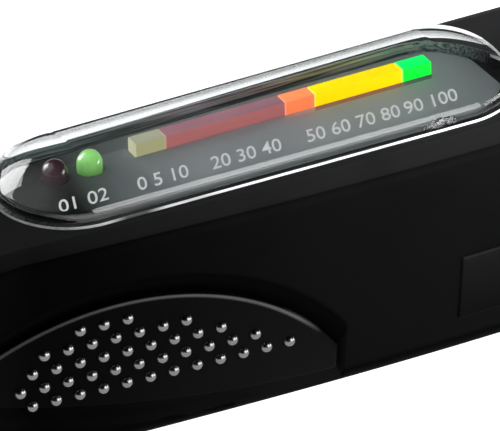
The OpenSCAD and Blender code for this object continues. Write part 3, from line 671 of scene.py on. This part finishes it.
def ink_with_painted_glow(settings):
    """Pale ink with a slightly uneven cover and a faint painted white glow."""
    f = Finish("ink_with_painted_glow", {"Specular IOR Level": 0.3, "Emission Color": (1, 1, 1, 1),
                               "Emission Strength": 0.25})
    cover = f.place.noise(0.12 * MM, 3)
    return f.set(
        base_color=cover.tint(dimmed(settings.print_ink, 0.8), settings.print_ink),
        roughness=cover.ranged(0.3, 0.7, 0.45, 0.6),
    )


def pale_floor():
    """Plain white table, lit from below, with a barely visible tooth."""
    f = Finish("pale_floor", {"Specular IOR Level": 0.1, "Emission Color": (1, 1, 1, 1),
                              "Emission Strength": 1.25})
    tooth = f.place.noise(2 * MM, 3)
    return f.set(
        base_color=tooth.tint((0.36, 0.36, 0.36), (0.38, 0.38, 0.38)),
        roughness=tooth.ranged(0.2, 0.8, 0.7, 0.85),
    )


def select_only(obj):
    """Makes one object the only selected and the active one."""
    bpy.ops.object.select_all(action="DESELECT")
    obj.select_set(True)
    bpy.context.view_layer.objects.active = obj


def named(name):
    """The primitive that was just added, under its own name."""
    obj = bpy.context.object
    obj.name = name
    obj.data.name = name
    return obj


def bake_place(obj):
    """Puts an object's place into its mesh."""
    select_only(obj)
    bpy.ops.object.transform_apply(location=True, rotation=True, scale=True)
    return obj


def modify(obj, kind, **settings):
    """Adds a modifier with these settings and applies it."""
    select_only(obj)
    modifier = obj.modifiers.new(kind.title(), kind)
    for key, value in settings.items():
        setattr(modifier, key, value)
    bpy.ops.object.modifier_apply(modifier=modifier.name)
    return obj


@contextmanager
def editing(obj, select="SELECT"):
    """Edit mode on one piece, with all, none or its own choice of it selected."""
    select_only(obj)
    bpy.ops.object.mode_set(mode="EDIT")
    if select != "KEEP":
        bpy.ops.mesh.select_all(action=select)
    yield
    bpy.ops.object.mode_set(mode="OBJECT")


def cut(obj, tool):
    """Takes a closed tool out of a piece."""
    faces = len(obj.data.polygons)
    modify(obj, "BOOLEAN", object=tool, operation="DIFFERENCE", solver="MANIFOLD")
    if len(obj.data.polygons) == faces:
        raise RuntimeError(f"{tool.name} left {obj.name} as it was")
    bpy.data.objects.remove(tool, do_unlink=True)


def close_where(obj, test):
    """Closes the open edges whose vertices pass the test with one face."""
    with editing(obj, "DESELECT"):
        bpy.ops.mesh.select_mode(type="VERT")
    for vertex in obj.data.vertices:
        vertex.select = test(vertex.co)
    with editing(obj, "KEEP"):
        bpy.ops.mesh.edge_face_add()


def outward(obj):
    """Merges doubled vertices, drops loose edges and points every face outwards."""
    with editing(obj):
        bpy.ops.mesh.remove_doubles(threshold=0.5 * TINY)
        bpy.ops.mesh.delete_loose()
        bpy.ops.mesh.select_all(action="SELECT")
        bpy.ops.mesh.normals_make_consistent(inside=False)
    return obj


def block(name, low, high):
    """A box between two corners."""
    low, high = Vector(low), Vector(high)
    bpy.ops.mesh.primitive_cube_add(size=1, location=(low + high) / 2)
    obj = named(name)
    obj.scale = high - low
    return bake_place(obj)


def rounded_block(name, low, high, radius, segments=3):
    """A box between two corners with rounded edges."""
    obj = block(name, low, high)
    return modify(obj, "BEVEL", width=radius, segments=segments, limit_method="NONE")


def rod(name, radius, low, high, sides=96):
    """A round tool between two points."""
    low, high = Vector(low), Vector(high)
    along = high - low
    bpy.ops.mesh.primitive_cylinder_add(vertices=sides, radius=radius, depth=along.length,
                                        location=(low + high) / 2)
    obj = named(name)
    obj.rotation_mode = "QUATERNION"
    obj.rotation_quaternion = along.to_track_quat("Z", "Y")
    return bake_place(obj)


def lofted(name, rings, closed=False):
    """A skin over rows of points; closed rows end where they start."""
    around = len(rings[0])
    columns, rows = len(rings), around + closed
    bpy.ops.mesh.primitive_grid_add(x_subdivisions=columns - 1, y_subdivisions=rows - 1, size=2)
    obj = named(name)
    for vertex in obj.data.vertices:
        i = round((vertex.co.x + 1) / 2 * (columns - 1))
        j = round((vertex.co.y + 1) / 2 * (rows - 1))
        vertex.co = rings[i][j % around]
    return outward(obj) if closed else obj


def ring(name, points, fill="NOTHING"):
    """A closed ring of edges through points, open or filled with one face."""
    bpy.ops.mesh.primitive_circle_add(vertices=len(points), fill_type=fill)
    obj = named(name)
    for vertex, point in zip(obj.data.vertices, points):
        vertex.co = point
    return obj


def prism(name, outline, low_z, high_z):
    """An upright solid over a flat outline."""
    obj = ring(name, [(x, y, low_z) for x, y in outline], "NGON")
    with editing(obj):
        bpy.ops.mesh.extrude_region_move(TRANSFORM_OT_translate={"value": (0, 0, high_z - low_z)})
    return outward(obj)


def turned(name, centre, profile, steps):
    """A piece turned about an upright axis through centre: profile holds (height, radius) points."""
    axis = Vector((0, 0, 1))
    side = axis.orthogonal().normalized()
    obj = ring(name, [Vector(centre) + axis * height + side * radius for height, radius in profile])
    with editing(obj):
        bpy.ops.mesh.spin(steps=steps, angle=2 * math.pi, center=centre, axis=axis)
    return outward(obj)


def joined(name, pieces):
    """Several pieces as one."""
    bpy.ops.object.select_all(action="DESELECT")
    for obj in pieces:
        obj.select_set(True)
    bpy.context.view_layer.objects.active = pieces[0]
    bpy.ops.object.join()
    return named(name)


def mirrored(obj, name):
    """A copy of a piece on the other side of the parting plane."""
    select_only(obj)
    bpy.ops.object.duplicate()
    copy = named(name)
    copy.scale = (1, -1, 1)
    bake_place(copy)
    return outward(copy)


def settle(obj, material, nodes, body="housing", angle=30):
    """Gives a piece its shading, finish and body, and hides the nodes that it stands for."""
    select_only(obj)
    bpy.ops.object.shade_smooth_by_angle(angle=math.radians(angle))
    obj.data.materials.clear()
    obj.data.materials.append(material)
    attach(obj, body)
    if nodes:
        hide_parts(*nodes)
    return obj


def dress(node, material):
    """Gives a carried-over node a finish of its own."""
    slots = frame["nodes"][node].data.materials
    slots.clear()
    slots.append(material)


def window_ends(settings):
    """Centres of the window's front and rear ends along the tester."""
    return LENS_LOW.x + settings.front_radius, LENS_HIGH.x - LENS_HIGH.y


def stadium(settings, front_r, rear_r, steps):
    """Two round ends of these radii about the window's own centres, with straight sides between them."""
    front_c, rear_c = window_ends(settings)
    tilt = math.acos((front_r - rear_r) / (rear_c - front_c))
    ends = ((front_c, front_r, tilt, 2 * math.pi - tilt), (rear_c, rear_r, -tilt, tilt))
    points = []
    for centre, radius, start, end in ends:
        for i in range(steps + 1):
            a = blend(start, end, i / steps)
            points.append((centre + radius * math.cos(a), radius * math.sin(a)))
    return points


def window_outline(settings, inset, steps=48):
    """Outline of the window, drawn in by inset."""
    return stadium(settings, settings.front_radius - inset, LENS_HIGH.y - inset, steps)


def leaf_outline(grip, grow, steps=72):
    """Outline of the leaf in the grip's own frame, grown by that much."""
    s = grip.s
    up_r, low_r, end = s.up_radius + grow, s.low_radius + grow, s.rear_length + grow

    def upper(u):
        return grip.up_centre.y + math.sqrt(max(0.0, up_r ** 2 - u * u))

    def lower(u):
        return grip.low_centre.y - math.sqrt(low_r ** 2 - (u - grip.low_centre.x) ** 2)

    left, tip = -up_r, 0.0
    for _ in range(60):
        u = (left + tip) / 2
        left, tip = (u, tip) if upper(u) < lower(u) else (left, u)
    there = [blend(tip, end, (1 - math.cos(math.pi * i / steps)) / 2) for i in range(steps + 1)]
    back = [blend(end, tip, i / steps) for i in range(steps)]
    return [(u, upper(u)) for u in there] + [(u, lower(u)) for u in back]


def in_grip_frame(obj, grip):
    """Moves a piece from the grip's own frame to the right side of the housing."""
    obj.data.transform(grip.matrix)
    return outward(obj)


class TESTER_OT_housing(bpy.types.Operator):
    """Two moulded halves with their scooped grip hollows and openings"""

    bl_idname = "tester.housing"
    bl_label = "Housing"

    def execute(self, context):
        scene = context.scene
        s = scene.tester_housing
        grip = GripFrame(scene.tester_grip)
        form = HousingForm(s, grip)
        right = self.half(form)
        self.cut_openings(right, scene, form)
        left = mirrored(right, "housing_left")
        self.screw_holes(right, s)
        # Painted light on the housing's faces that look up and painted shade on its flanks, changing along
        # the tester
        material = moulded_plastic("housing_plastic", scene.tester_finish.housing,
                                   painted_light_and_shade(16 * MM, 26 * MM, steep=0.75))
        settle(left, material, ["left_shell"])
        settle(right, material, ["right_shell"])
        return {"FINISHED"}

    @staticmethod
    def columns(form):
        """Places along the length: close together beside the grip and at the rounded tail."""
        grip_end = -8 * MM
        tail_round = form.s.tail_round
        round_x = TAIL_X - tail_round
        stretches = (
            (NOSE_X, form.shoulder_x, 66),
            (form.shoulder_x, grip_end, 160),
            (grip_end, form.full_x, 28),
            (form.full_x, form.tail_start_x, 30),
            (form.tail_start_x, round_x, 12),
        )
        places = [NOSE_X]
        for start, end, count in stretches:
            places += [blend(start, end, (i + 1) / count) for i in range(count)]
        return places + [round_x + tail_round * along for _, along in quarter_turn(6)]

    def half(self, form):
        """Solid right half of the outer form."""
        gap = form.s.parting
        tail_round = form.s.tail_round
        rings = []
        for x in self.columns(form):
            over = max(0.0, x - (TAIL_X - tail_round))
            inset = tail_round - math.sqrt(max(0.0, tail_round ** 2 - over ** 2))
            row = [Vector((x, max(p.x, gap), p.y)) for p in form.section(x, inset, SIDE_STEPS)]
            rings.append([form.scooped(p, 0.0, SCOOP_SOFT) for p in row])
        return self.closed("housing_right", rings, NOSE_X, TAIL_X, gap)

    def chamber(self, name, form, start, end, steps):
        """Solid of the hollow inside one half between two places along the length."""
        lap = -1 * MM
        grip_wall = 2.4 * MM
        side_steps = 24
        rings = []
        for i in range(steps + 1):
            x = blend(start, end, i / steps)
            row = [Vector((x, p.x, p.y)) for p in form.section(x, form.s.wall, side_steps)]
            row = [form.scooped(p, grip_wall, SCOOP_SOFT) for p in row]
            row[0].y = row[-1].y = lap
            rings.append(row)
        return self.closed(name, rings, start, end, lap)

    @staticmethod
    def closed(name, rings, start, end, seam):
        """Skin over half sections, closed at both ends and along the seam."""
        obj = lofted(name, rings)
        close_where(obj, lambda co: co.x < start + TINY)
        close_where(obj, lambda co: co.x > end - TINY)
        close_where(obj, lambda co: co.y < seam + TINY)
        return outward(obj)

    def cut_openings(self, half, scene, form):
        """Hollows a half out and cuts its openings."""
        s = form.s
        window = scene.tester_window
        bay_x0, bay_x1 = CONTACT_LOW.x, CONTACT_HIGH.x
        cut(half, self.chamber("front_chamber", form, NOSE_X + s.wall, bay_x0 - s.rib, 80))
        cut(half, self.chamber("cell_chamber", form, bay_x0, bay_x1, 20))
        above = BODY_H + 5 * MM
        under = BODY_H - 2.5 * MM
        cut(half, prism("lens_seat", window_outline(window, -s.fit), LENS_LOW.z, above))
        inner = window_outline(window, window.thickness + window.ledge)
        cut(half, prism("panel_opening", inner, under, above))
        cut(half, rod("button_hole", BUTTON_R + s.slide_fit, (BUTTON_X, 0, under), (BUTTON_X, 0, above)))
        past = TAIL_X + 5 * MM
        side = DOOR_HIGH.y + s.slide_fit
        front = DOOR_LOW.x - s.slide_fit
        top = DOOR_HIGH.z + s.slide_fit
        tongue = 1.4 * MM
        narrow = side - tongue
        cut(half, block("door_slot", (front, -past, -past), (past, narrow, top)))
        cut(half, block("tongue_slot", (front, -past, s.wall), (past, side, top)))
        clear = 6 * MM
        pocket = prism("grip_pocket", leaf_outline(form.grip, s.fit), -form.grip.s.thickness - s.fit, clear)
        cut(half, in_grip_frame(pocket, form.grip))
        cut(half, rod("barrel_bore", BARREL_HIGH.y + s.fit, (NOSE_X - 5 * MM, 0, NOSE_Z),
                      (BARREL_HIGH.x, 0, NOSE_Z)))

    @staticmethod
    def screw_holes(half, s):
        """Sinks the heads of the case screws into the right half."""
        head_r, head_h = 1.9 * MM, 1.4 * MM
        for x, z in screw_places():
            head = (x, SCREW_HIGH.y - head_h, z)
            cut(half, rod("screw_hole", head_r + s.fit, head, (x, 2 * BODY_HALF, z), 40))


def screw_places():
    """(x, z) of each case screw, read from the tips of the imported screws."""
    corners = frame["nodes"]["case_screws"].data.vertices
    tips = [v.co.xz for v in corners if v.co.y < SCREW_LOW.y + 10 * TINY]
    reach = 3 * MM
    places = []
    for tip in tips:
        if all((tip - place).length > reach for place in places):
            near = [other for other in tips if (other - tip).length < reach]
            low, high = (Vector(map(pick, zip(*near))) for pick in (min, max))
            places.append((low + high) / 2)
    return places


class TESTER_OT_window(bpy.types.Operator):
    """Clear domed lens with a flange round its foot"""

    bl_idname = "tester.window"
    bl_label = "Window lens"

    def execute(self, context):
        s = context.scene.tester_window
        outer = self.dome(s, 0.0, s.flange)
        inner = self.dome(s, s.thickness, 0.0)
        rings = outer[::-1] + inner
        points = [[Vector((x, y, z)) for x, y in stadium(s, front, rear, 56)] for front, rear, z in rings]
        obj = lofted("window_dome", points, closed=True)
        hub = 0.3 * MM
        for crown in (outer[-1][2], inner[-1][2]):
            close_where(obj, lambda co: abs(co.z - crown) < 0.5 * TINY and abs(co.y) < hub)
        outward(obj)
        settle(obj, clear_plastic(), ["window_lens"], angle=40)
        obj.data.materials.append(seat_shadow())
        obj.data.materials.append(painted_rim_highlight())
        for face in obj.data.polygons:
            face.material_index = self.surface(face, s)
        settle(self.gate_mark(s), obj.data.materials[0], [], angle=60)
        return {"FINISHED"}

    @staticmethod
    def gate_mark(s):
        """Torn stub on the near side of the skirt where the lens was cut from its runner."""
        half_width, half_height, middle_z, depth = 0.3 * MM, 0.75 * MM, 0.85 * MM, 0.7 * MM
        bpy.ops.mesh.primitive_ico_sphere_add(subdivisions=5, radius=1)
        obj = named("gate_mark")
        obj.scale = (s.gate_length / 2, half_width, half_height)
        obj.location = (s.gate_x, s.flange - LENS_HIGH.y, BODY_H + middle_z)
        bake_place(obj)
        tear = bpy.data.textures.new("tear", "CLOUDS")
        tear.noise_scale = 0.8 * MM
        tear.noise_depth = 2
        return modify(obj, "DISPLACE", texture=tear, texture_coords="LOCAL", strength=depth)

    @staticmethod
    def surface(face, s):
        """0 for the clear faces, 1 for the painted shade in the seat, under the step and at the foot inside
        the far skirt, 2 for the painted highlight on the rim.
        """
        front_c, rear_c = window_ends(s)
        centre = face.center
        far_y = 0.2 * LENS_HIGH.y
        height = centre.z - BODY_H
        across = centre.x - min(rear_c, max(front_c, centre.x))
        outside = face.normal.x * across + face.normal.y * centre.y > 0
        if centre.z < LENS_LOW.z + 10 * TINY or (outside and height < 0):
            return 1
        if outside and height < s.rim:
            return 2
        if outside and height < s.rim + s.step:
            return 1
        if not outside and height < s.streaks and centre.y > far_y:
            return 1
        return 0

    @staticmethod
    def dome(s, inset, flange):
        """Rings (front radius, rear radius, height) of one face of the lens from its foot to its crown."""
        wall_z = BODY_H + s.skirt
        rise = LENS_HIGH.z - inset - wall_z
        rear = LENS_HIGH.y
        radius = (rear * rear + rise * rise) / (2 * rise)
        wall_steps, steps, passes = 40, 96, 120
        hub, step_fade = 0.004, 6
        profile = [(1.0, blend(LENS_LOW.z, wall_z, i / wall_steps)) for i in range(wall_steps)]
        for part, _ in quarter_turn(steps, 0):
            lift = math.sqrt(radius * radius - (part * rear) ** 2) - radius + rise
            profile.append((part, wall_z + lift))
        for _ in range(passes):
            beyond = (-profile[-2][0], profile[-2][1])
            middle = [tuple((a + 2 * b + c) / 4 for a, b, c in zip(*three))
                      for three in zip(profile, profile[1:], [*profile[2:], beyond])]
            profile = [profile[0], *middle]
        rings = []
        for part, z in profile:
            part = max(hub, part)
            over = clamped((z - BODY_H - s.rim) / s.step)
            step = flange * (over * over * (3 - 2 * over)) * part ** step_fade
            rings.append(((s.front_radius - inset - step) * part, (rear - inset - step) * part, z))
        return rings


class TESTER_OT_display(bpy.types.Operator):
    """Display panel, light bar, lamps and numerals"""

    bl_idname = "tester.display"
    bl_label = "Display"

    def execute(self, context):
        finish = context.scene.tester_finish
        dress("display_panel", panel_face(finish))
        soft = 0.09 * MM
        for node, front, top, strength in PRISMS:
            low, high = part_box(node)
            tone = node[4:]
            obj = rounded_block("prism_" + tone, low, high, soft, 2)
            material = light_prism(tone + "_prism", low, high, front, top, strength)
            settle(obj, material, [node])
        for node, tone, resin, glow, strength in LAMPS:
            material = lamp_resin(tone + "_lamp", resin, glow, strength)
            settle(self.lamp(node, "lamp_" + tone), material, [node])
        self.numerals(ink_with_painted_glow(finish))
        return {"FINISHED"}

    @staticmethod
    def lamp(node, name):
        """Round lamp with a rim, a domed top and two leads."""
        low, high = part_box(node)
        centre = Vector(((low.x + high.x) / 2, (low.y + high.y) / 2, 0))
        rim_r, rim_width, lead_half = (high.x - low.x) / 2, 0.35 * MM, 0.25 * MM
        radius = rim_r - rim_width
        packed = [v.co for v in frame["nodes"][node].data.vertices]
        rim = [co.z for co in packed if (co.xy - centre.xy).length > 0.95 * rim_r]
        foot_z, rim_z = min(rim), max(rim)
        dome_z = high.z - radius
        profile = [(foot_z, 0.0), (foot_z, rim_r), (rim_z, rim_r), (rim_z, radius)]
        profile += [(dome_z + radius * up, radius * out) for out, up in quarter_turn(16, 0)]
        pieces = [turned(name, centre, profile, 48)]
        half = Vector((lead_half, lead_half, 0))
        for side in (-radius / 2, radius / 2):
            foot = Vector((centre.x, centre.y + side, low.z))
            head = Vector((centre.x, centre.y + side, (foot_z + rim_z) / 2))
            pieces.append(block("lead", foot - half, head + half))
        return joined(name, pieces)

    @staticmethod
    def numerals(material):
        """Plain numbers along the scale, condensed and leaning as on a printed panel."""
        height = 2.4 * MM
        digit_share = 0.73
        ink, weight = 0.01 * MM, 0.02 * MM
        condense, lean = 0.78, 0.354
        line_y = -4.0 * MM
        line_z = PANEL_HIGH.z + ink + TINY
        for number, (text, start) in enumerate(NUMERALS):
            bpy.ops.object.text_add()
            obj = bpy.context.object
            obj.data.body = text
            obj.data.size = height / digit_share
            obj.data.extrude = ink
            obj.data.offset = weight
            bpy.ops.object.convert(target="MESH")
            obj = named(f"numerals_{number}")
            rows = ((condense, lean, 0, start * MM), (0, 1, 0, line_y), (0, 0, 1, line_z), (0, 0, 0, 1))
            obj.data.transform(Matrix(rows))
            settle(outward(obj), material, [])


class TESTER_OT_grips(bpy.types.Operator):
    """Leaf-shaped grip inserts with their domed metal studs"""

    bl_idname = "tester.grips"
    bl_label = "Grips"

    def execute(self, context):
        finish = context.scene.tester_finish
        grip = GripFrame(context.scene.tester_grip)
        # Painted highlight along the insert's rounded upper edge; the rest of the rubber is kept near black
        rubber = moulded_plastic("grip_rubber", finish.grip, painted_light_and_shade(9 * MM, 12 * MM, 0.016, flat=0.5))
        chrome = plated_metal("stud_chrome", finish.chrome)
        pieces = ((self.insert, "grip", rubber, "grip_rubber"), (self.studs, "studs", chrome, "stud_chrome"))
        for make, name, material, slot in pieces:
            right = make(grip)
            left = mirrored(right, name + "_left")
            settle(right, material, ["right_" + name])
            settle(left, material, ["left_" + name])
        return {"FINISHED"}

    @staticmethod
    def insert(grip):
        """Leaf with a rounded outer edge."""
        s = grip.s
        rings = [(0.0, -s.thickness), (0.0, -s.edge_round)]
        rings += [(s.edge_round * (out - 1), s.edge_round * (up - 1)) for out, up in quarter_turn(8)]
        outlines = [[Vector((u, v, w)) for u, v in leaf_outline(grip, grow)] for grow, w in rings]
        obj = lofted("grip_right", outlines, closed=True)
        close_where(obj, lambda co: co.z > -TINY)
        close_where(obj, lambda co: co.z < -s.thickness + TINY)
        return in_grip_frame(obj, grip)

    @staticmethod
    def studs(grip):
        """One dome, modelled once and copied to every place."""
        s = grip.s
        radius = (s.stud_width ** 2 / 4 + s.stud_height ** 2) / (2 * s.stud_height)
        bpy.ops.mesh.primitive_uv_sphere_add(segments=28, ring_count=20, radius=radius,
                                             location=(0, 0, s.stud_height - radius))
        dome = bake_place(named("studs_right"))
        foot = (0, 0, 0.02 * MM)
        with editing(dome):
            bpy.ops.mesh.bisect(plane_co=foot, plane_no=(0, 0, 1), clear_inner=True, use_fill=True)
        copies = []
        for row, (count, start) in enumerate(STUD_ROWS):
            for i in range(count):
                select_only(dome)
                bpy.ops.object.duplicate()
                copy = bpy.context.object
                copy.location = (s.stud_x - s.up_x + (start + i) * s.stud_pitch,
                                 s.stud_z + row * s.stud_row - s.face_z, 0)
                copies.append(bake_place(copy))
        bpy.data.objects.remove(dome, do_unlink=True)
        return in_grip_frame(joined("studs_right", copies), grip)


class TESTER_OT_button(bpy.types.Operator):
    """Round power button with a dished top"""

    bl_idname = "tester.button"
    bl_label = "Power button"

    def execute(self, context):
        housing = context.scene.tester_housing
        foot_z, top_z = BUTTON_LOW.z, BUTTON_HIGH.z
        flange_z = BODY_H - housing.wall - housing.fit
        soft, dish, dish_steps = 0.5 * MM, 0.25 * MM, 12
        profile = [(foot_z, 0.0), (foot_z, BUTTON_FLANGE_R), (flange_z, BUTTON_FLANGE_R),
                   (flange_z, BUTTON_R), (top_z - soft, BUTTON_R)]
        profile += [(top_z - soft + soft * up, BUTTON_R - soft + soft * out) for out, up in quarter_turn(6)]
        rim = BUTTON_R - 2 * soft
        for i in range(dish_steps + 1):
            part = 1 - i / dish_steps
            profile.append((top_z - dish * (1 - part * part), rim * part))
        obj = turned("button", (BUTTON_X, 0, 0), profile, 72)
        plastic = moulded_plastic("button_plastic", (0.018, 0.018, 0.019))
        settle(obj, plastic, ["power_button"], "button")
        return {"FINISHED"}


class TESTER_OT_probe(bpy.types.Operator):
    """Collar, barrel and sprung tip at the nose"""

    bl_idname = "tester.probe"
    bl_label = "Probe"

    def execute(self, context):
        finish = context.scene.tester_finish
        dress("nose_collar", plated_metal("collar_metal", (0.55, 0.56, 0.58)))
        dress("probe_barrel", moulded_plastic("barrel_plastic", (0.012, 0.012, 0.0125)))
        dress("probe_tip", plated_metal("probe_metal", finish.copper))
        return {"FINISHED"}


class TESTER_OT_battery_door(bpy.types.Operator):
    """Sliding door in the belly"""

    bl_idname = "tester.battery_door"
    bl_label = "Battery door"

    def execute(self, context):
        dress("battery_door", moulded_plastic("door_plastic", (0.007, 0.007, 0.0075)))
        return {"FINISHED"}


class TESTER_OT_side_plate(bpy.types.Operator):
    """Bare plate on the left side behind the grip"""

    bl_idname = "tester.side_plate"
    bl_label = "Side plate"

    def execute(self, context):
        scene = context.scene
        form = HousingForm(scene.tester_housing, GripFrame(scene.tester_grip))
        x0, x1, z0, z1 = 3.2 * MM, 42 * MM, 5.8 * MM, 14.6 * MM
        foot = self.side_y(form, x1, z0)
        head = self.side_y(form, x1, z1)
        half, soft = 0.3 * MM, 0.22 * MM
        obj = rounded_block("side_plate", (x0, -half, 0), (x1, half, z1 - z0), soft)
        lean = math.atan2(head - foot, z1 - z0)
        place = Matrix.Translation((0, -foot, z0)) @ Matrix.Rotation(lean, 4, "X")
        obj.data.transform(place)
        # Painted light on the plate's upper edge and the faces that look up
        plastic = moulded_plastic("plate_plastic", (0.03, 0.03, 0.0305), painted_light_and_shade(13 * MM, 14.4 * MM))
        settle(obj, plastic, [])
        return {"FINISHED"}

    @staticmethod
    def side_y(form, x, z):
        """Distance from the parting plane to the side at that place."""
        rows = [p for p in form.section(x, 0.0, SIDE_STEPS) if p.x > 0.6 * BODY_HALF]
        return min(rows, key=lambda p: abs(p.y - z)).x


def coil(name, centre, start, end, radius, wire, turns, steps=28, sides=12):
    """A round wire wound about the X axis, with its end turns laid flat."""
    count = turns * steps
    rise = end - start - wire
    flat_turn = 0.75
    path = []
    for i in range(count + 1):
        t = clamped((i / steps - flat_turn) / (turns - 2 * flat_turn))
        a = 2 * math.pi * i / steps
        around = Vector((0, math.cos(a), math.sin(a))) * radius
        path.append(Vector((start + wire / 2 + rise * t, centre.y, centre.z)) + around)
    rings = []
    for i, point in enumerate(path):
        along = (path[min(i + 1, count)] - path[max(i - 1, 0)]).normalized()
        out = (point - Vector((point.x, centre.y, centre.z))).normalized()
        across = along.cross(out)
        rings.append([point + (out * math.cos(b) + across * math.sin(b)) * wire / 2
                      for b in (2 * math.pi * k / sides for k in range(sides))])
    obj = lofted(name, rings, closed=True)
    for end_ring in (rings[0], rings[-1]):
        middle = sum(end_ring, Vector()) / sides
        close_where(obj, lambda co: (co - middle).length < 0.51 * wire)
    return outward(obj)


class TESTER_OT_springs(bpy.types.Operator):
    """Wound springs behind the probe and at the cells"""

    bl_idname = "tester.springs"
    bl_label = "Springs"

    def execute(self, context):
        steel = plated_metal("spring_steel", context.scene.tester_finish.steel)
        low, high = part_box("probe_spring")
        wire = 0.5 * MM
        centre = (low + high) / 2
        spring = coil("probe_coil", centre, low.x, high.x, (high.y - low.y - wire) / 2, wire, 7)
        settle(spring, steel, ["probe_spring"], angle=60)
        joints = {joint["name"]: joint for joint in frame["record"]["behaviour"]["joints"]}
        keep = 1 - joints["probe_press"]["range_m"][1] / (high.x - low.x)
        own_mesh(spring)
        low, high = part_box("cell_springs")
        wire, radius = 0.6 * MM, 2.7 * MM
        side = high.y - radius - wire / 2
        up, down = high.z - radius - wire / 2, low.z + radius + wire / 2
        coils = [coil("cell_coils", Vector((0, y, z)), low.x, high.x, radius, wire, 3)
                 for y, z in ((0, down), (side, up), (-side, up))]
        settle(joined("cell_coils", coils), steel, ["cell_springs"], angle=60)
        return {"FINISHED"}


class TESTER_OT_inner_pieces(bpy.types.Operator):
    """Finishes of the pieces inside the housing"""

    bl_idname = "tester.inner_pieces"
    bl_label = "Inner pieces"

    def execute(self, context):
        dark = moulded_plastic("chip_resin", (0.02, 0.02, 0.02))
        pale = moulded_plastic("switch_resin", (0.5, 0.5, 0.47))
        dress("main_board", board_laminate())
        dress("battery_cells", plated_metal("cell_case", (0.5, 0.51, 0.53)))
        dress("cell_contacts", plated_metal("contact_metal", (0.6, 0.5, 0.3)))
        dress("case_screws", plated_metal("screw_steel", (0.35, 0.36, 0.38)))
        for node in ("board_chips", "buzzer"):
            dress(node, dark)
        for node in ("switch_body", "switch_plunger", "bar_lamps"):
            dress(node, pale)
        return {"FINISHED"}


class TESTER_OT_stage(bpy.types.Operator):
    """Pale floor, soft light and the camera"""

    bl_idname = "tester.stage"
    bl_label = "Stage"

    def execute(self, context):
        s = context.scene.tester_stage
        drop = 0.05 * MM
        bpy.ops.mesh.primitive_plane_add(size=s.floor_width, location=(0, 0, -drop))
        floor = named("floor")
        floor.data.materials.append(pale_floor())
        self.camera(context.scene, s)
        self.light(context.scene)
        context.scene.view_settings.view_transform = "Standard"
        return {"FINISHED"}

    @staticmethod
    def camera(scene, s):
        """Camera at the photograph's viewing angle."""
        a, e, r = s.azimuth, s.elevation, s.roll
        back = Vector((math.sin(a) * math.cos(e), -math.cos(a) * math.cos(e), math.sin(e)))
        right = Vector((math.cos(a), math.sin(a), 0))
        up = back.cross(right)
        right, up = right * math.cos(r) + up * math.sin(r), up * math.cos(r) - right * math.sin(r)
        bpy.ops.object.camera_add()
        camera = bpy.context.object
        camera.matrix_world = Matrix((right, up, back)).transposed().to_4x4()
        camera.location = Vector((s.target_x, 0, s.target_z)) + back * s.distance
        camera.data.lens = s.focal
        camera.data.sensor_width = 36
        camera.data.clip_start = 0.01
        camera.data.clip_end = 100
        scene.camera = camera

    @staticmethod
    def light(scene):
        """Three soft boxes, and a dark surround with a pale patch overhead."""
        world = bpy.data.worlds.new("surround")
        world.use_nodes = True
        tree = world.node_tree
        direction = Shade(tree, tree.nodes.new("ShaderNodeTexCoord").outputs["Generated"])
        x, y, z = (direction.axis(name) for name in "XYZ")
        behind = y.ranged(0.1, 0.8).tint((0.03, 0.03, 0.032), (0.05, 0.051, 0.054))
        overhead = (z * 0.76 + y * 0.25 - x * 0.6).ranged(0.70, 0.98)
        background = tree.nodes["Background"].inputs
        direction.feed(background["Color"], overhead.tint(behind, (1, 1, 1)))
        background["Strength"].default_value = 1.2
        scene.world = world
        world.cycles_visibility.glossy = False
        for name, place, width, height, power, through in SOFT_BOXES:
            bpy.ops.object.light_add(type="AREA", location=place)
            lamp = bpy.context.object
            lamp.name = name
            lamp.data.shape = "RECTANGLE"
            lamp.data.size = width
            lamp.data.size_y = height
            lamp.data.energy = power
            lamp.visible_transmission = through
            lamp.rotation_mode = "QUATERNION"
            lamp.rotation_quaternion = Vector(place).to_track_quat("Z", "Y")


class TESTER_PT_panel(bpy.types.Panel):
    """Sizes, colours and building steps of the tester"""

    bl_idname = "TESTER_PT_panel"
    bl_label = "Diamond Tester"
    bl_space_type = "VIEW_3D"
    bl_region_type = "UI"
    bl_category = "Tester"

    def draw(self, context):
        layout = self.layout
        for group in SETTINGS:
            box = layout.box()
            box.label(text=group.title())
            settings = getattr(context.scene, "tester_" + group)
            for key in settings.__annotations__:
                box.prop(settings, key)
        for operator in STEPS:
            layout.operator(operator.bl_idname)


SETTINGS = {
    "housing": HousingSettings,
    "window": WindowSettings,
    "grip": GripSettings,
    "finish": FinishSettings,
    "stage": StageSettings,
}
STEPS = [
    TESTER_OT_stage,
    TESTER_OT_housing,
    TESTER_OT_window,
    TESTER_OT_display,
    TESTER_OT_grips,
    TESTER_OT_button,
    TESTER_OT_probe,
    TESTER_OT_battery_door,
    TESTER_OT_side_plate,
    TESTER_OT_springs,
    TESTER_OT_inner_pieces,
]


def register():
    for cls in (*SETTINGS.values(), *STEPS, TESTER_PT_panel):
        bpy.utils.register_class(cls)
    for group, cls in SETTINGS.items():
        setattr(bpy.types.Scene, "tester_" + group, PointerProperty(type=cls))


def unregister():
    for group in SETTINGS:
        delattr(bpy.types.Scene, "tester_" + group)
    for cls in (TESTER_PT_panel, *reversed(STEPS), *SETTINGS.values()):
        bpy.utils.unregister_class(cls)


def main():
    """Builds everything in order."""
    register()
    for step in STEPS:
        group, name = step.bl_idname.split(".")
        getattr(getattr(bpy.ops, group), name)()


if __name__ == "__main__":
    main()
